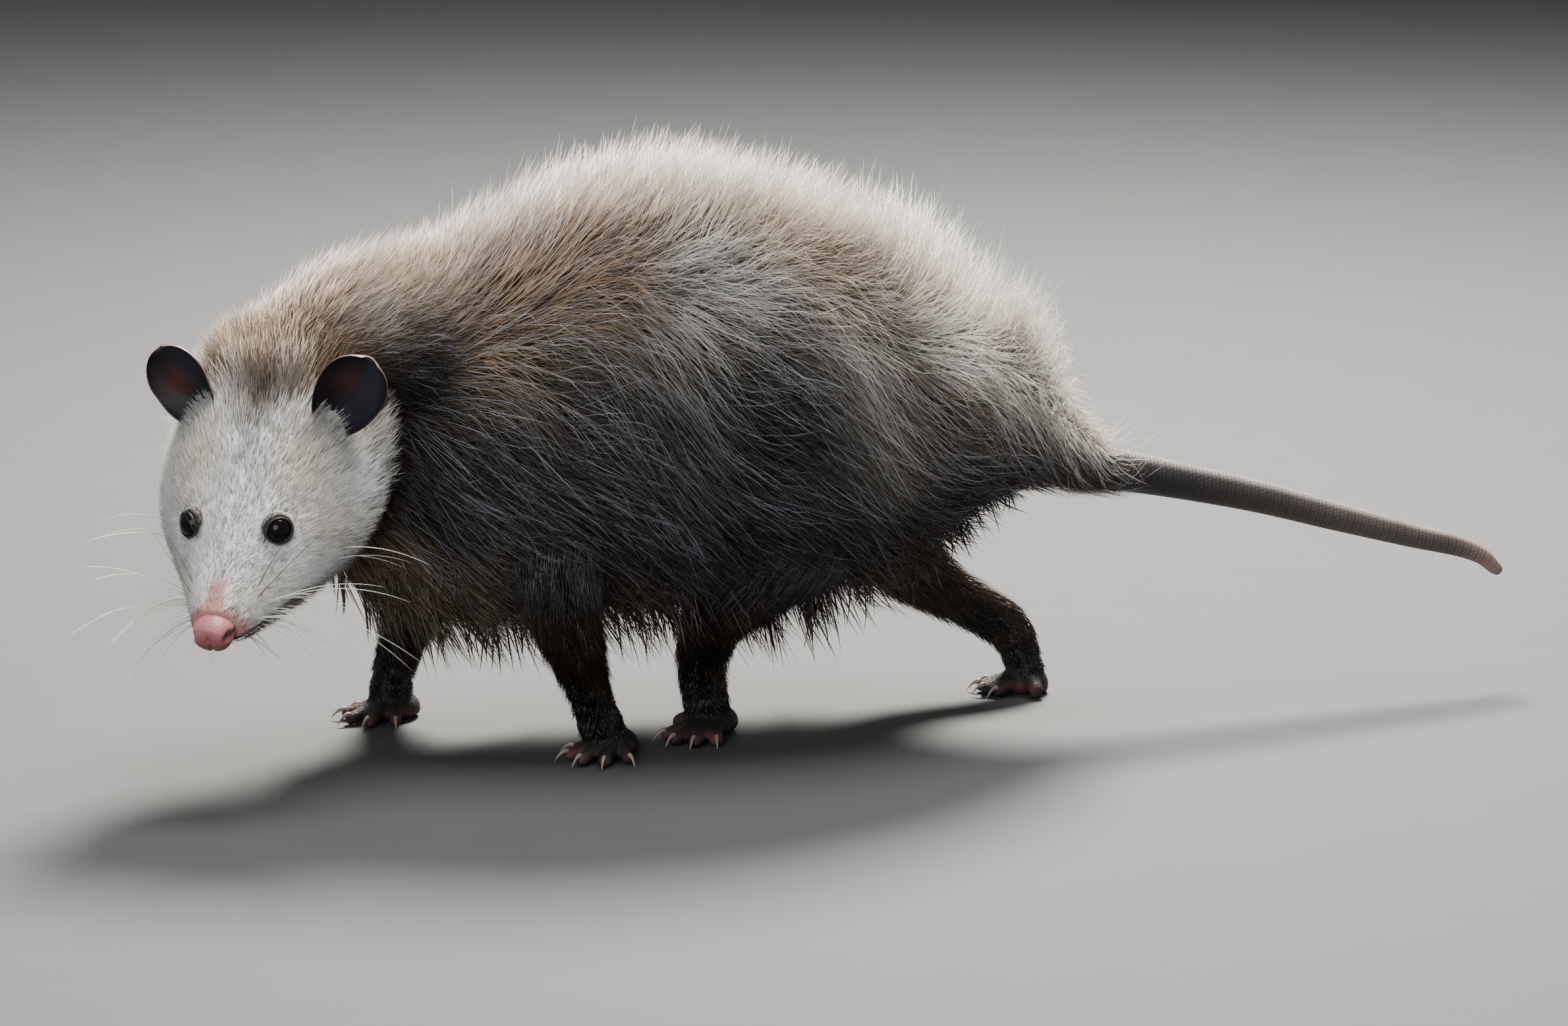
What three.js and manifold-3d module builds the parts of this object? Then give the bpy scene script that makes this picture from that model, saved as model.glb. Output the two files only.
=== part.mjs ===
// A Virginia opossum in mid stride, life size, in millimetres.
// It faces -X with its left side towards -Y. +Z is up and the soles rest on Z = 0.
// Lofted forms give the body, head, tail and limbs. Flat, tapered locks fused to the trunk and neck
// carry the coat out to its tips, and the longest whiskers are fused to the head.
// Neighbouring parts keep a thin gap, and boolean joins fuse what grows from one part.

import * as THREE from 'three';
import { mergeVertices } from 'three/addons/utils/BufferGeometryUtils.js';
import Module from 'manifold-3d';

const wasm = await Module();
wasm.setup();

// Driving dimensions, in millimetres and degrees.
const gap = 0.3;

// The trunk's sections from chest to tail: place along X, top and underside of the coat, half
// width, and the depth of the coat above, beside and below the skin.
const trunk = {
  sides: 18,
  rings: 17,
  belly: 0.45,
  square: 2.15,
  sections: [
    { s: -190, top: 139, bottom: 88, wide: 17, above: 10, beside: 8, below: 8 },
    { s: -181, top: 168, bottom: 69, wide: 35, above: 14, beside: 12, below: 12 },
    { s: -166, top: 193, bottom: 56, wide: 46, above: 20, beside: 14, below: 14 },
    { s: -140, top: 212, bottom: 49, wide: 55, above: 26, beside: 16, below: 15 },
    { s: -110, top: 227, bottom: 47, wide: 62, above: 31, beside: 18, below: 16 },
    { s: -80, top: 238, bottom: 50, wide: 70, above: 34, beside: 20, below: 17 },
    { s: -48, top: 244, bottom: 51, wide: 76, above: 37, beside: 22, below: 18 },
    { s: -15, top: 241, bottom: 50, wide: 78, above: 39, beside: 24, below: 19 },
    { s: 16, top: 233, bottom: 52, wide: 78, above: 41, beside: 26, below: 18 },
    { s: 42, top: 221, bottom: 58, wide: 74, above: 42, beside: 26, below: 17 },
    { s: 65, top: 205, bottom: 70, wide: 66, above: 41, beside: 24, below: 15 },
    { s: 86, top: 187, bottom: 85, wide: 54, above: 38, beside: 21, below: 12 },
    { s: 105, top: 168, bottom: 94, wide: 40, above: 31, beside: 17, below: 9 },
    { s: 122, top: 150, bottom: 95, wide: 27, above: 22, beside: 12, below: 6 },
    { s: 137, top: 126, bottom: 92, wide: 14, above: 8, beside: 5, below: 3 },
    { s: 148, top: 112, bottom: 92, wide: 10, above: 4, beside: 3, below: 2 },
  ],
  front: -190,
  back: 140,
};

// The neck bends to the left and the head hangs from its end.
const head = { joint: [-196.2, -11.5, 148], yaw: 59.5, pitch: 33.9, roll: 0 };
const neck = {
  sides: 18,
  rings: 8,
  square: 2.1,
  sections: [
    { s: 0, at: [-122, 0, 142], yaw: 0, pitch: 0, wide: 50, up: 66, down: 58, coat: 24 },
    { s: 25, at: [-147, -0.5, 146], yaw: 14, pitch: 6, wide: 48, up: 60, down: 60, coat: 20 },
    { s: 45, at: [-166.5, -3.5, 147.5], yaw: 30, pitch: 14, wide: 45, up: 55, down: 58, coat: 15 },
    { s: 60, at: [-181, -7.5, 148], yaw: 44, pitch: 24, wide: 43, up: 48, down: 53, coat: 9 },
    { s: 75, at: head.joint, yaw: head.yaw, pitch: head.pitch, wide: 41.5, up: 38, down: 47.5, coat: 4 },
  ],
  // The cut between neck and trunk slopes from the withers down to the front of the chest.
  cutAt: [-143, 0, 205],
  cutSlope: 18,
};

// The head's sections from nape to muzzle, in its own frame: X ahead, Y to its left and Z up.
const skull = {
  sides: 20,
  rings: 15,
  jowl: 0.12,
  jowlFrom: 60,
  square: 2.1,
  sections: [
    { s: 0, wide: 43.5, top: 37, bottom: -49, peak: 2.1 },
    { s: 15, wide: 47, top: 36.5, bottom: -49.5, peak: 2.1 },
    { s: 30, wide: 49, top: 34, bottom: -47.5, peak: 2.05 },
    { s: 45, wide: 48, top: 30.5, bottom: -44.5, peak: 2 },
    { s: 60, wide: 43.5, top: 25.5, bottom: -41, peak: 1.9 },
    { s: 75, wide: 35.5, top: 20, bottom: -37, peak: 1.85 },
    { s: 88, wide: 27.5, top: 13, bottom: -32.5, peak: 1.8 },
    { s: 100, wide: 20.5, top: 7, bottom: -28, peak: 1.8 },
    { s: 110, wide: 15, top: 2.5, bottom: -23.5, peak: 1.9 },
    { s: 118, wide: 10.5, top: -0.5, bottom: -19, peak: 2 },
  ],
};
const mouth = {
  corner: 88,
  cornerZ: -19,
  frontZ: -15.5,
  lip: 1.1,
  chin: 112,
  backSlope: 12,
  past: 20,
  floor: -60,
  across: 80,
};
const nose = {
  from: 118,
  length: 8.5,
  wide: 8.6,
  up: 7,
  down: 8,
  z: -8.5,
  square: 2.3,
  sides: 14,
  profile: [
    { out: 0, share: 1 },
    { out: 0.45, share: 1.02 },
    { out: 0.8, share: 0.8 },
    { out: 1, share: 0.42 },
  ],
  nostril: { radius: 2.7, out: 0.72, beside: 0.78, above: 1.2, scale: [1, 0.8, 0.62] },
};
const eye = { at: [79.2, 17.7, 8], radius: 5.6, lid: 1.4, yaw: 38, lift: 28, opening: 5.3 };
const ear = {
  base: [22, 29.5, 20.5],
  along: [-0.25, 0.58, 0.78],
  facing: [0.93, 0.12, 0.3],
  length: 27,
  wide: 14,
  widest: 0.56,
  pointed: 1.01,
  waist: 1.2,
  cup: 8,
  edgeCurl: 1.1,
  edgeFade: 0.75,
  lean: 0.35,
  bend: 0.25,
  thick: 1.3,
  sink: 5,
  steps: 6,
};

// The long whiskers of one side, which the other mirrors. Each has its root's place along the head
// and its angle round it from the top, leaves outward, back and up by shares, and droops.
const whiskers = {
  sides: 3,
  thick: 0.34,
  sink: 1.6,
  profile: [
    { out: 0, thick: 1 },
    { out: 0.36, thick: 0.92 },
    { out: 0.72, thick: 0.8 },
    { out: 1, thick: 0.3 },
  ],
  roots: [
    { s: 109, angle: 82, back: 0.1, up: 0.1, length: 42, droop: 0.35 },
    { s: 108, angle: 102, back: 0, up: -0.25, length: 40, droop: 0.5 },
    { s: 103, angle: 74, back: 0.35, up: 0.1, length: 54, droop: 0.3 },
    { s: 102, angle: 92, back: 0.2, up: 0, length: 60, droop: 0.42 },
    { s: 96, angle: 84, back: 0.45, up: 0, length: 52, droop: 0.35 },
    { s: 96, angle: 102, back: 0.3, up: -0.15, length: 50, droop: 0.45 },
    { s: 66, angle: 88, back: 0.1, up: 0.1, length: 38, droop: 0.3 },
  ],
};

// The tail's centre line and half thickness, from the rump to the hooked tip.
const tail = {
  sides: 12,
  line: [
    { s: 0, at: [136, 0, 103.8], thick: 9.4 },
    { s: 46, at: [179.6, 0, 94.1], thick: 7.8 },
    { s: 81, at: [214.7, 0, 85.5], thick: 6.9 },
    { s: 118, at: [250.2, 0, 75], thick: 6.1 },
    { s: 156, at: [286, 0, 64.5], thick: 5.1 },
    { s: 178, at: [307.6, 0, 58.6], thick: 4.4 },
    { s: 189, at: [318, 0, 54], thick: 3.7 },
    { s: 198, at: [324.6, 0, 48.2], thick: 2.9 },
  ],
  parts: { tail_base: [0, 70], tail_middle: [70, 138], tail_tip: [138, 198] },
  ringEvery: 10,
  tip: [
    { out: 1.6, share: 0.8 },
    { out: 2.7, share: 0.4 },
  ],
};

// The locks of the coat. Lift is 0 at the skin and 1 at the tips of the coat, and the core stops
// under half way. Each lock starts below the core, and its profile gives its taper.
const locks = {
  seed: 41,
  core: 0.45,
  root: 0.18,
  tip: 0.95,
  tipSpread: 0.08,
  length: 66,
  rise: 1.35,
  fall: 19,
  crest: { shorter: 12, rise: 1 },
  wide: 20.5,
  thick: 4,
  spread: 0.16,
  fallSpread: 0.4,
  stagger: 0.5,
  jitter: { around: 0.3, along: 14 },
  profile: [
    { out: 0, wide: 0.7, thick: 0.9 },
    { out: 0.35, wide: 0.95, thick: 1 },
    { out: 0.72, wide: 0.78, thick: 0.62 },
    { out: 1, wide: 0.06, thick: 0.12 },
  ],
  trunkRows: { from: -174, to: 96, count: 8, every: 39.5, tipLimit: 135, toward: 1 },
  neckRows: { from: 74, to: 26, count: 3, every: 33, tipLimit: -10, toward: -1 },
};

// Each limb's centre line with its half size fore and aft and across, down to the wrist or heel.
const limbs = {
  foreleg_left: [
    { s: 0, at: [-98, -36, 104], fore: 22, side: 17 },
    { s: 30, at: [-97, -42, 76], fore: 18, side: 14 },
    { s: 50, at: [-93.5, -45, 57], fore: 14.5, side: 12 },
    { s: 66, at: [-89, -46, 42], fore: 11, side: 10 },
    { s: 84, at: [-84, -46, 25], fore: 9.8, side: 8.8 },
    { s: 103, at: [-77, -44, 7], fore: 9.5, side: 9 },
  ],
  foreleg_right: [
    { s: 0, at: [-116, 36, 104], fore: 22, side: 17 },
    { s: 30, at: [-130, 40, 76], fore: 18, side: 14 },
    { s: 52, at: [-139, 42, 56], fore: 14.5, side: 12 },
    { s: 72, at: [-144.5, 42, 36], fore: 11, side: 10 },
    { s: 86, at: [-149.5, 42, 22], fore: 9.5, side: 8.8 },
    { s: 103, at: [-152, 42, 7], fore: 9.2, side: 8.8 },
  ],
  hindleg_left: [
    { s: 0, at: [26, -36, 104], fore: 30, side: 20 },
    { s: 32, at: [0, -37, 84], fore: 25, side: 18 },
    { s: 58, at: [-18, -33, 64], fore: 17, side: 14 },
    { s: 75, at: [-28, -26, 50], fore: 13, side: 12 },
    { s: 90, at: [-31, -21, 35], fore: 11.3, side: 10.5 },
    { s: 103, at: [-30.5, -18.5, 22], fore: 10.5, side: 9.5 },
    { s: 118, at: [-28, -17, 7], fore: 10, side: 9 },
  ],
  hindleg_right: [
    { s: 0, at: [50, 33, 108], fore: 32, side: 20 },
    { s: 28, at: [56, 32, 80], fore: 24, side: 18 },
    { s: 50, at: [68, 30, 60], fore: 17, side: 14 },
    { s: 72, at: [85, 28, 45], fore: 12, side: 11 },
    { s: 94, at: [104, 26, 34], fore: 11, side: 10 },
    { s: 108, at: [114.5, 25, 26], fore: 10.5, side: 9 },
    { s: 118, at: [118.5, 23, 17], fore: 8.8, side: 8.4 },
    { s: 129, at: [121, 21, 7], fore: 8.6, side: 8.4 },
  ],
};
const limbSides = 12;
const limbRings = 9;

// The paws: where the palm's middle stands, its turn from straight ahead, and its toes. A toe has
// its angle from the paw's own direction, its reach from the middle and its half thickness.
const foreToes = [
  { turn: -62, reach: 17, thick: 3.2 },
  { turn: -28, reach: 21, thick: 3.4 },
  { turn: 0, reach: 22.5, thick: 3.5 },
  { turn: 27, reach: 21, thick: 3.4 },
  { turn: 60, reach: 17, thick: 3.2 },
];
const hindToes = [
  { turn: -30, reach: 24, thick: 3.5 },
  { turn: -9, reach: 27, thick: 3.6 },
  { turn: 11, reach: 26.5, thick: 3.6 },
  { turn: 32, reach: 23.5, thick: 3.5 },
];
const thumb = { turn: 96, reach: 19, thick: 4, bare: true };
const toeProfile = [
  { out: 0.25, rise: 1.4, thick: 1.05 },
  { out: 0.72, rise: 1.25, thick: 1 },
  { out: 1, rise: 0.85, thick: 0.6 },
];
const claw = { from: 0.93, length: 6, thick: 1.3, tip: 0.35, tall: 1.2, rise: 1.35, drop: 0.85 };
const paws = {
  forepaw_left: { at: [-74, -43], yaw: 40, toes: foreToes, stretch: 1, long: 12 },
  forepaw_right: { at: [-150, 42], yaw: 22, toes: foreToes, stretch: 1, long: 12 },
  hindpaw_left: { at: [-26, -17], yaw: 48, toes: hindToes, stretch: 1, thumb: -1, long: 14 },
  hindpaw_right: { at: [121, 21], yaw: -6, toes: hindToes, stretch: 0.76, thumb: 1, long: 9 },
};
const palm = { wide: 10, high: 14, sides: 8, middle: 0.32, up: 0.62, down: 0.5, flat: 0.93 };
const palmRings = [-1, -0.75, 0, 0.75, 1];
const toeSides = 5;
const wrist = 13;

// The colours, each with its roughness.
const finishes = {
  coat: ['#b9b2a6', 0.9],
  face: ['#ddd8ce', 0.9],
  limb: ['#2b2522', 0.8],
  tail: ['#5b5049', 0.75],
  ear: ['#2f2a2a', 0.65],
  eye: ['#0b0909', 0.15],
  nose: ['#d29a94', 0.5],
};

const radians = THREE.MathUtils.degToRad;

// A small repeatable source of random numbers between 0 and 1.
function makeRandom(seed) {
  let state = seed;
  return () => {
    state = (state * 1664525 + 1013904223) % 4294967296;
    return state / 4294967296;
  };
}

// Reads a table of sections at any place between its ends, with every number smoothed.
function readSection(sections, s) {
  const last = sections.length - 1;
  const above = sections.findIndex((section) => section.s > s);
  const index = above < 0 ? last - 1 : Math.max(above - 1, 0);
  const from = sections[index];
  const to = sections[index + 1];
  const before = sections[Math.max(index - 1, 0)];
  const after = sections[Math.min(index + 2, last)];
  const span = to.s - from.s;
  const t = THREE.MathUtils.clamp((s - from.s) / span, 0, 1);
  const smooth = (a, b, c, d) => {
    const leave = (c - a) / Math.max(to.s - before.s, span);
    const arrive = (d - b) / Math.max(after.s - from.s, span);
    const square = t * t;
    const cube = square * t;
    return (2 * cube - 3 * square + 1) * b + (cube - 2 * square + t) * span * leave
      + (3 * square - 2 * cube) * c + (cube - square) * span * arrive;
  };
  const result = {};
  for (const key of Object.keys(from)) {
    if (Array.isArray(from[key])) {
      const mixed = from[key].map((_, k) => smooth(before[key][k], from[key][k], to[key][k], after[key][k]));
      result[key] = new THREE.Vector3(...mixed);
    } else {
      result[key] = smooth(before[key], from[key], to[key], after[key]);
    }
  }
  return result;
}

// The three directions of something that faces -X and is then turned, lowered and rolled.
function facing(yaw, pitch, roll = 0) {
  const turn = radians(yaw);
  const dip = radians(pitch);
  const tilt = radians(roll);
  const level = new THREE.Vector3(-Math.cos(turn), -Math.sin(turn), 0);
  const ahead = level.multiplyScalar(Math.cos(dip)).setZ(-Math.sin(dip));
  const abreast = new THREE.Vector3(Math.sin(turn), -Math.cos(turn), 0);
  const raised = ahead.clone().cross(abreast);
  const left = abreast.multiplyScalar(Math.cos(tilt)).addScaledVector(raised, Math.sin(tilt));
  return { ahead, left, up: ahead.clone().cross(left) };
}

// One ring of points round a centre. Angle 0 is up and a quarter turn on is the left side.
// A section's square makes its corners fuller, and its peak does so above the middle alone.
function makeRing(centre, left, up, size, sides) {
  return Array.from({ length: sides }, (_, side) => {
    const angle = 2 * Math.PI * side / sides;
    return ringPoint(centre, left, up, size, angle);
  });
}

function ringPoint(centre, left, up, size, angle) {
  const across = Math.sin(angle);
  const rise = Math.cos(angle);
  const height = rise > 0 ? size.up : size.down;
  const power = 2 / ((rise > 0 ? size.peak : size.square) ?? size.square ?? 2);
  return centre.clone()
    .addScaledVector(left, Math.sign(across) * Math.abs(across) ** power * size.wide)
    .addScaledVector(up, Math.sign(rise) * Math.abs(rise) ** power * height);
}

// A closed solid from points and triangles, turned the right way out.
function makeSolid(points, faces) {
  let volume = 0;
  for (const [a, b, c] of faces) {
    volume += points[a].dot(points[b].clone().cross(points[c]));
  }
  const outward = volume > 0 ? faces : faces.map(([a, b, c]) => [a, c, b]);
  const mesh = new wasm.Mesh({
    numProp: 3,
    vertProperties: new Float32Array(points.flatMap((point) => point.toArray())),
    triVerts: new Uint32Array(outward.flat()),
  });
  return new wasm.Manifold(mesh);
}

// A closed solid through a row of rings, with both ends capped from their middles.
function loft(rings) {
  const sides = rings[0].length;
  const points = rings.flat();
  const faces = [];
  for (let ring = 0; ring + 1 < rings.length; ring++) {
    for (let side = 0; side < sides; side++) {
      const a = ring * sides + side;
      const b = ring * sides + (side + 1) % sides;
      faces.push([a, b, b + sides], [a, b + sides, a + sides]);
    }
  }
  for (const [start, ring] of [[0, rings[0]], [(rings.length - 1) * sides, rings.at(-1)]]) {
    const middle = new THREE.Vector3();
    ring.forEach((point) => middle.addScaledVector(point, 1 / sides));
    const centre = points.push(middle) - 1;
    for (let side = 0; side < sides; side++) {
      const next = (side + 1) % sides;
      faces.push(start === 0 ? [start + next, start + side, centre] : [start + side, start + next, centre]);
    }
  }
  return makeSolid(points, faces);
}

// A solid from one of the stock shapes, with its shared points merged.
function solidFrom(geometry) {
  geometry.deleteAttribute('normal');
  geometry.deleteAttribute('uv');
  const merged = mergeVertices(geometry, 1e-4);
  const place = merged.getAttribute('position');
  const points = [];
  for (let k = 0; k < place.count; k++) {
    points.push(new THREE.Vector3().fromBufferAttribute(place, k));
  }
  const faces = [];
  for (let k = 0; k < merged.index.count; k += 3) {
    faces.push([merged.index.getX(k), merged.index.getX(k + 1), merged.index.getX(k + 2)]);
  }
  return makeSolid(points, faces);
}

// Keeps the one closed surface that holds the most.
function largest(solid) {
  const pieces = solid.decompose();
  return pieces.reduce((best, piece) => (piece.volume() > best.volume() ? piece : best), pieces[0]);
}

function placesBetween(from, to, count) {
  return Array.from({ length: count }, (_, k) => from + (to - from) * k / (count - 1));
}

// A point of the trunk. A lift of 0 is the skin and 1 the tips of the coat.
function trunkSize(s, lift, grow) {
  const section = readSection(trunk.sections, s);
  const middle = THREE.MathUtils.lerp(section.bottom, section.top, trunk.belly);
  const bare = 1 - lift;
  return {
    centre: new THREE.Vector3(s, 0, middle),
    left: new THREE.Vector3(0, -1, 0),
    upward: new THREE.Vector3(0, 0, 1),
    square: trunk.square,
    wide: section.wide - bare * section.beside + grow,
    up: section.top - middle - bare * section.above + grow,
    down: middle - section.bottom - bare * section.below + grow,
  };
}

function neckSize(s, lift, grow) {
  const section = readSection(neck.sections, s);
  const { left, up } = facing(section.yaw, section.pitch);
  const inset = (1 - lift) * section.coat - grow;
  return {
    centre: section.at,
    left,
    upward: up,
    square: neck.square,
    wide: section.wide - inset,
    up: section.up - inset,
    down: section.down - inset,
  };
}

function formRings(sizeAt, from, to, count, sides, lift, grow) {
  return placesBetween(from, to, count).map((s) => {
    const size = sizeAt(s, lift, grow);
    return makeRing(size.centre, size.left, size.upward, size, sides);
  });
}

// The trunk and neck in one, before they are parted.
function makeBody(lift, grow = 0) {
  const ends = [trunk.front - grow, trunk.back + grow];
  const chest = loft(formRings(trunkSize, ...ends, trunk.rings, trunk.sides, lift, grow));
  const nape = loft(formRings(neckSize, 0, neck.sections.at(-1).s, neck.rings, neck.sides, lift, grow));
  return chest.add(nape);
}

// A point of the coat on one of the two forms, with the way out from it.
function coatPoint(sizeAt, s, angle, lift) {
  const size = sizeAt(s, lift, 0);
  return ringPoint(size.centre, size.left, size.upward, size, angle);
}

function coatNormal(sizeAt, s, angle) {
  const step = 0.04;
  const along = coatPoint(sizeAt, s + 1, angle, 1).sub(coatPoint(sizeAt, s - 1, angle, 1));
  const around = coatPoint(sizeAt, s, angle + step, 1).sub(coatPoint(sizeAt, s, angle - step, 1));
  const normal = along.cross(around).normalize();
  const outward = coatPoint(sizeAt, s, angle, 1).sub(sizeAt(s, 1, 0).centre);
  return normal.dot(outward) < 0 ? normal.negate() : normal;
}

// One lock: a flat, bent and tapered blade from below the core to the tips of the coat.
function makeLock(sizeAt, root, lock) {
  const place = (out) => {
    const rise = locks.root + (lock.tip - locks.root) * (1 - (1 - out) ** lock.rise);
    return coatPoint(sizeAt, root.s + lock.reach * out, root.angle + lock.swing * out, rise);
  };
  const rings = locks.profile.map(({ out, wide, thick }) => {
    const centre = place(out);
    const along = place(Math.min(out + 0.05, 1)).sub(place(Math.max(out - 0.05, 0))).normalize();
    const normal = coatNormal(sizeAt, root.s + lock.reach * out, root.angle + lock.swing * out);
    const across = along.clone().cross(normal).normalize();
    const over = across.clone().cross(along);
    const size = { wide: lock.wide * wide, up: lock.thick * thick, down: lock.thick * thick };
    return makeRing(centre, across, over, size, 4);
  });
  return loft(rings);
}

// Staggered rows of locks round the trunk or the neck, each varied a little.
function makeLocks(sizeAt, rows, keep, random) {
  const vary = (value, share) => value * (1 + share * (2 * random() - 1));
  const solids = [];
  placesBetween(rows.from, rows.to, rows.count).forEach((rowAt, row) => {
    const size = sizeAt(rowAt, 1, 0);
    const radius = (size.wide * 2 + size.up + size.down) / 4;
    const count = Math.max(Math.round(2 * Math.PI * radius / rows.every), 5);
    for (let k = 0; k < count; k++) {
      const turn = k + locks.stagger * (row % 2) + locks.jitter.around * (random() - 0.5);
      const angle = 2 * Math.PI * turn / count;
      const top = Math.max(Math.cos(angle), 0) ** 2;
      const side = Math.sin(angle);
      const s = rowAt + locks.jitter.along * (random() - 0.5);
      const length = vary(locks.length - locks.crest.shorter * top, locks.spread);
      const room = Math.abs(rows.tipLimit - s);
      const lock = {
        reach: Math.min(length, room) * rows.toward,
        swing: vary(locks.fall, locks.fallSpread) * side / radius,
        rise: THREE.MathUtils.lerp(locks.rise, locks.crest.rise, top),
        tip: vary(locks.tip, locks.tipSpread),
        wide: vary(locks.wide, locks.spread),
        thick: locks.thick,
      };
      if (keep(coatPoint(sizeAt, s, angle, locks.core))) {
        solids.push(makeLock(sizeAt, { s, angle }, lock));
      }
    }
  });
  return wasm.Manifold.union(solids);
}

// Half of space as a large block, on the far side of a plane from its normal.
function blockBehind(point, normal) {
  const size = 900;
  const box = new THREE.BoxGeometry(size, size, size);
  box.translate(0, 0, -size / 2);
  box.applyQuaternion(new THREE.Quaternion().setFromUnitVectors(new THREE.Vector3(0, 0, 1), normal));
  box.translate(point.x, point.y, point.z);
  return solidFrom(box);
}

function makeLimb(name, grow = 0) {
  const line = limbs[name];
  const places = placesBetween(0, line.at(-1).s, limbRings);
  const rings = places.map((s) => {
    const size = readSection(line, s);
    const step = 1;
    const next = readSection(line, Math.min(s + step, line.at(-1).s)).at;
    const previous = readSection(line, Math.max(s - step, 0)).at;
    const along = next.clone().sub(previous).normalize();
    const side = new THREE.Vector3(0, -1, 0).addScaledVector(along, along.y).normalize();
    const fore = along.clone().cross(side);
    const shape = { wide: size.side + grow, up: size.fore + grow, down: size.fore + grow };
    return makeRing(size.at, side, fore, shape, limbSides);
  });
  return loft(rings);
}

// A toe is a bent, tapered finger with a short claw at its tip.
function makeToe(toe, direction, root, stretch) {
  const reach = toe.reach * stretch;
  const side = new THREE.Vector3(-direction.y, direction.x, 0);
  const up = new THREE.Vector3(0, 0, 1);
  const rings = toeProfile.map(({ out, rise, thick }) => {
    const centre = root.clone().addScaledVector(direction, reach * out);
    centre.z = toe.thick * rise;
    const half = toe.thick * thick;
    return makeRing(centre, side, up, { wide: half, up: half, down: half }, toeSides);
  });
  const finger = loft(rings);
  if (toe.bare) {
    return finger;
  }
  const clawRings = [0, 1].map((out) => {
    const centre = root.clone().addScaledVector(direction, reach * claw.from + claw.length * out);
    centre.z = toe.thick * (claw.rise - claw.drop * out * out);
    const half = THREE.MathUtils.lerp(claw.thick, claw.tip, out);
    return makeRing(centre, side, up, { wide: half, up: half * claw.tall, down: half * claw.tall }, 4);
  });
  return finger.add(loft(clawRings));
}

function makePaw({ at, yaw, toes, stretch, thumb: thumbSide, long }) {
  const { ahead, left } = facing(yaw, 0);
  const up = new THREE.Vector3(0, 0, 1);
  const root = new THREE.Vector3(at[0], at[1], 0);
  const rings = palmRings.map((share) => {
    const centre = root.clone().addScaledVector(ahead, share * long);
    centre.z = palm.high * palm.middle;
    const round = Math.sqrt(1 - Math.min(share * share, palm.flat));
    const size = { wide: palm.wide * round, up: palm.high * palm.up * round, down: palm.high * palm.down };
    return makeRing(centre, left, up, size, palm.sides);
  });
  let paw = loft(rings);
  const all = thumbSide ? [...toes, { ...thumb, turn: thumb.turn * thumbSide }] : toes;
  for (const toe of all) {
    const direction = facing(yaw + toe.turn, 0).ahead;
    paw = paw.add(makeToe(toe, direction, root, stretch));
  }
  return paw;
}

// A length of the tail. Its tip is closed by a smaller ring.
function makeTailPart([from, to], grow = 0) {
  const end = tail.line.at(-1).s;
  const count = Math.round((to - from) / tail.ringEvery) + 1;
  const rings = placesBetween(from, to, count).map((s) => {
    const size = readSection(tail.line, s);
    const next = readSection(tail.line, Math.min(s + 1, end)).at;
    const previous = readSection(tail.line, Math.max(s - 1, 0)).at;
    const along = next.clone().sub(previous).normalize();
    const side = new THREE.Vector3(0, 1, 0);
    const half = size.thick + grow;
    const shape = { wide: half, up: half, down: half };
    return makeRing(size.at, side, along.clone().cross(side), shape, tail.sides);
  });
  if (to === end) {
    const { at, thick } = readSection(tail.line, end);
    const along = at.clone().sub(readSection(tail.line, end - 2).at).normalize();
    const side = new THREE.Vector3(0, 1, 0);
    for (const { out, share } of tail.tip) {
      const half = thick * share + grow;
      const centre = at.clone().addScaledVector(along, out);
      const shape = { wide: half, up: half, down: half };
      rings.push(makeRing(centre, side, along.clone().cross(side), shape, tail.sides));
    }
  }
  return loft(rings);
}

// The head in its own frame.
const aheadUp = { left: new THREE.Vector3(0, 1, 0), up: new THREE.Vector3(0, 0, 1) };

function skullSize(s, inset) {
  const { wide, top, bottom, peak } = readSection(skull.sections, s);
  const drop = skull.jowl * (top - bottom) * Math.min(s / skull.jowlFrom, 1);
  const middle = (top + bottom) / 2 - drop;
  return {
    centre: new THREE.Vector3(s, 0, middle),
    wide: wide - inset,
    up: top - middle - inset,
    down: middle - bottom - inset,
    peak,
    square: skull.square,
  };
}

function makeSkull(inset) {
  const end = skull.sections.at(-1).s;
  const rings = placesBetween(gap, end - gap / 2, skull.rings).map((s) => {
    const size = skullSize(s, inset);
    return makeRing(size.centre, aheadUp.left, aheadUp.up, size, skull.sides);
  });
  return loft(rings);
}

// A bent, tapered whisker that starts inside the muzzle.
function makeWhisker(whisker, side) {
  const angle = radians(whisker.angle) * side;
  const size = skullSize(whisker.s, whiskers.sink);
  const root = ringPoint(size.centre, aheadUp.left, aheadUp.up, size, angle);
  const way = new THREE.Vector3(-whisker.back, Math.sin(angle), Math.cos(angle) + whisker.up).normalize();
  const place = (out) => root.clone()
    .addScaledVector(way, whisker.length * out)
    .addScaledVector(headDown, whisker.length * whisker.droop * out * out);
  const rings = whiskers.profile.map(({ out, thick }) => {
    const along = place(out + 0.01).sub(place(out - 0.01)).normalize();
    const across = along.clone().cross(headDown).normalize();
    const half = whiskers.thick * thick;
    const shape = { wide: half, up: half, down: half };
    return makeRing(place(out), across, across.clone().cross(along), shape, whiskers.sides);
  });
  return loft(rings);
}

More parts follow.
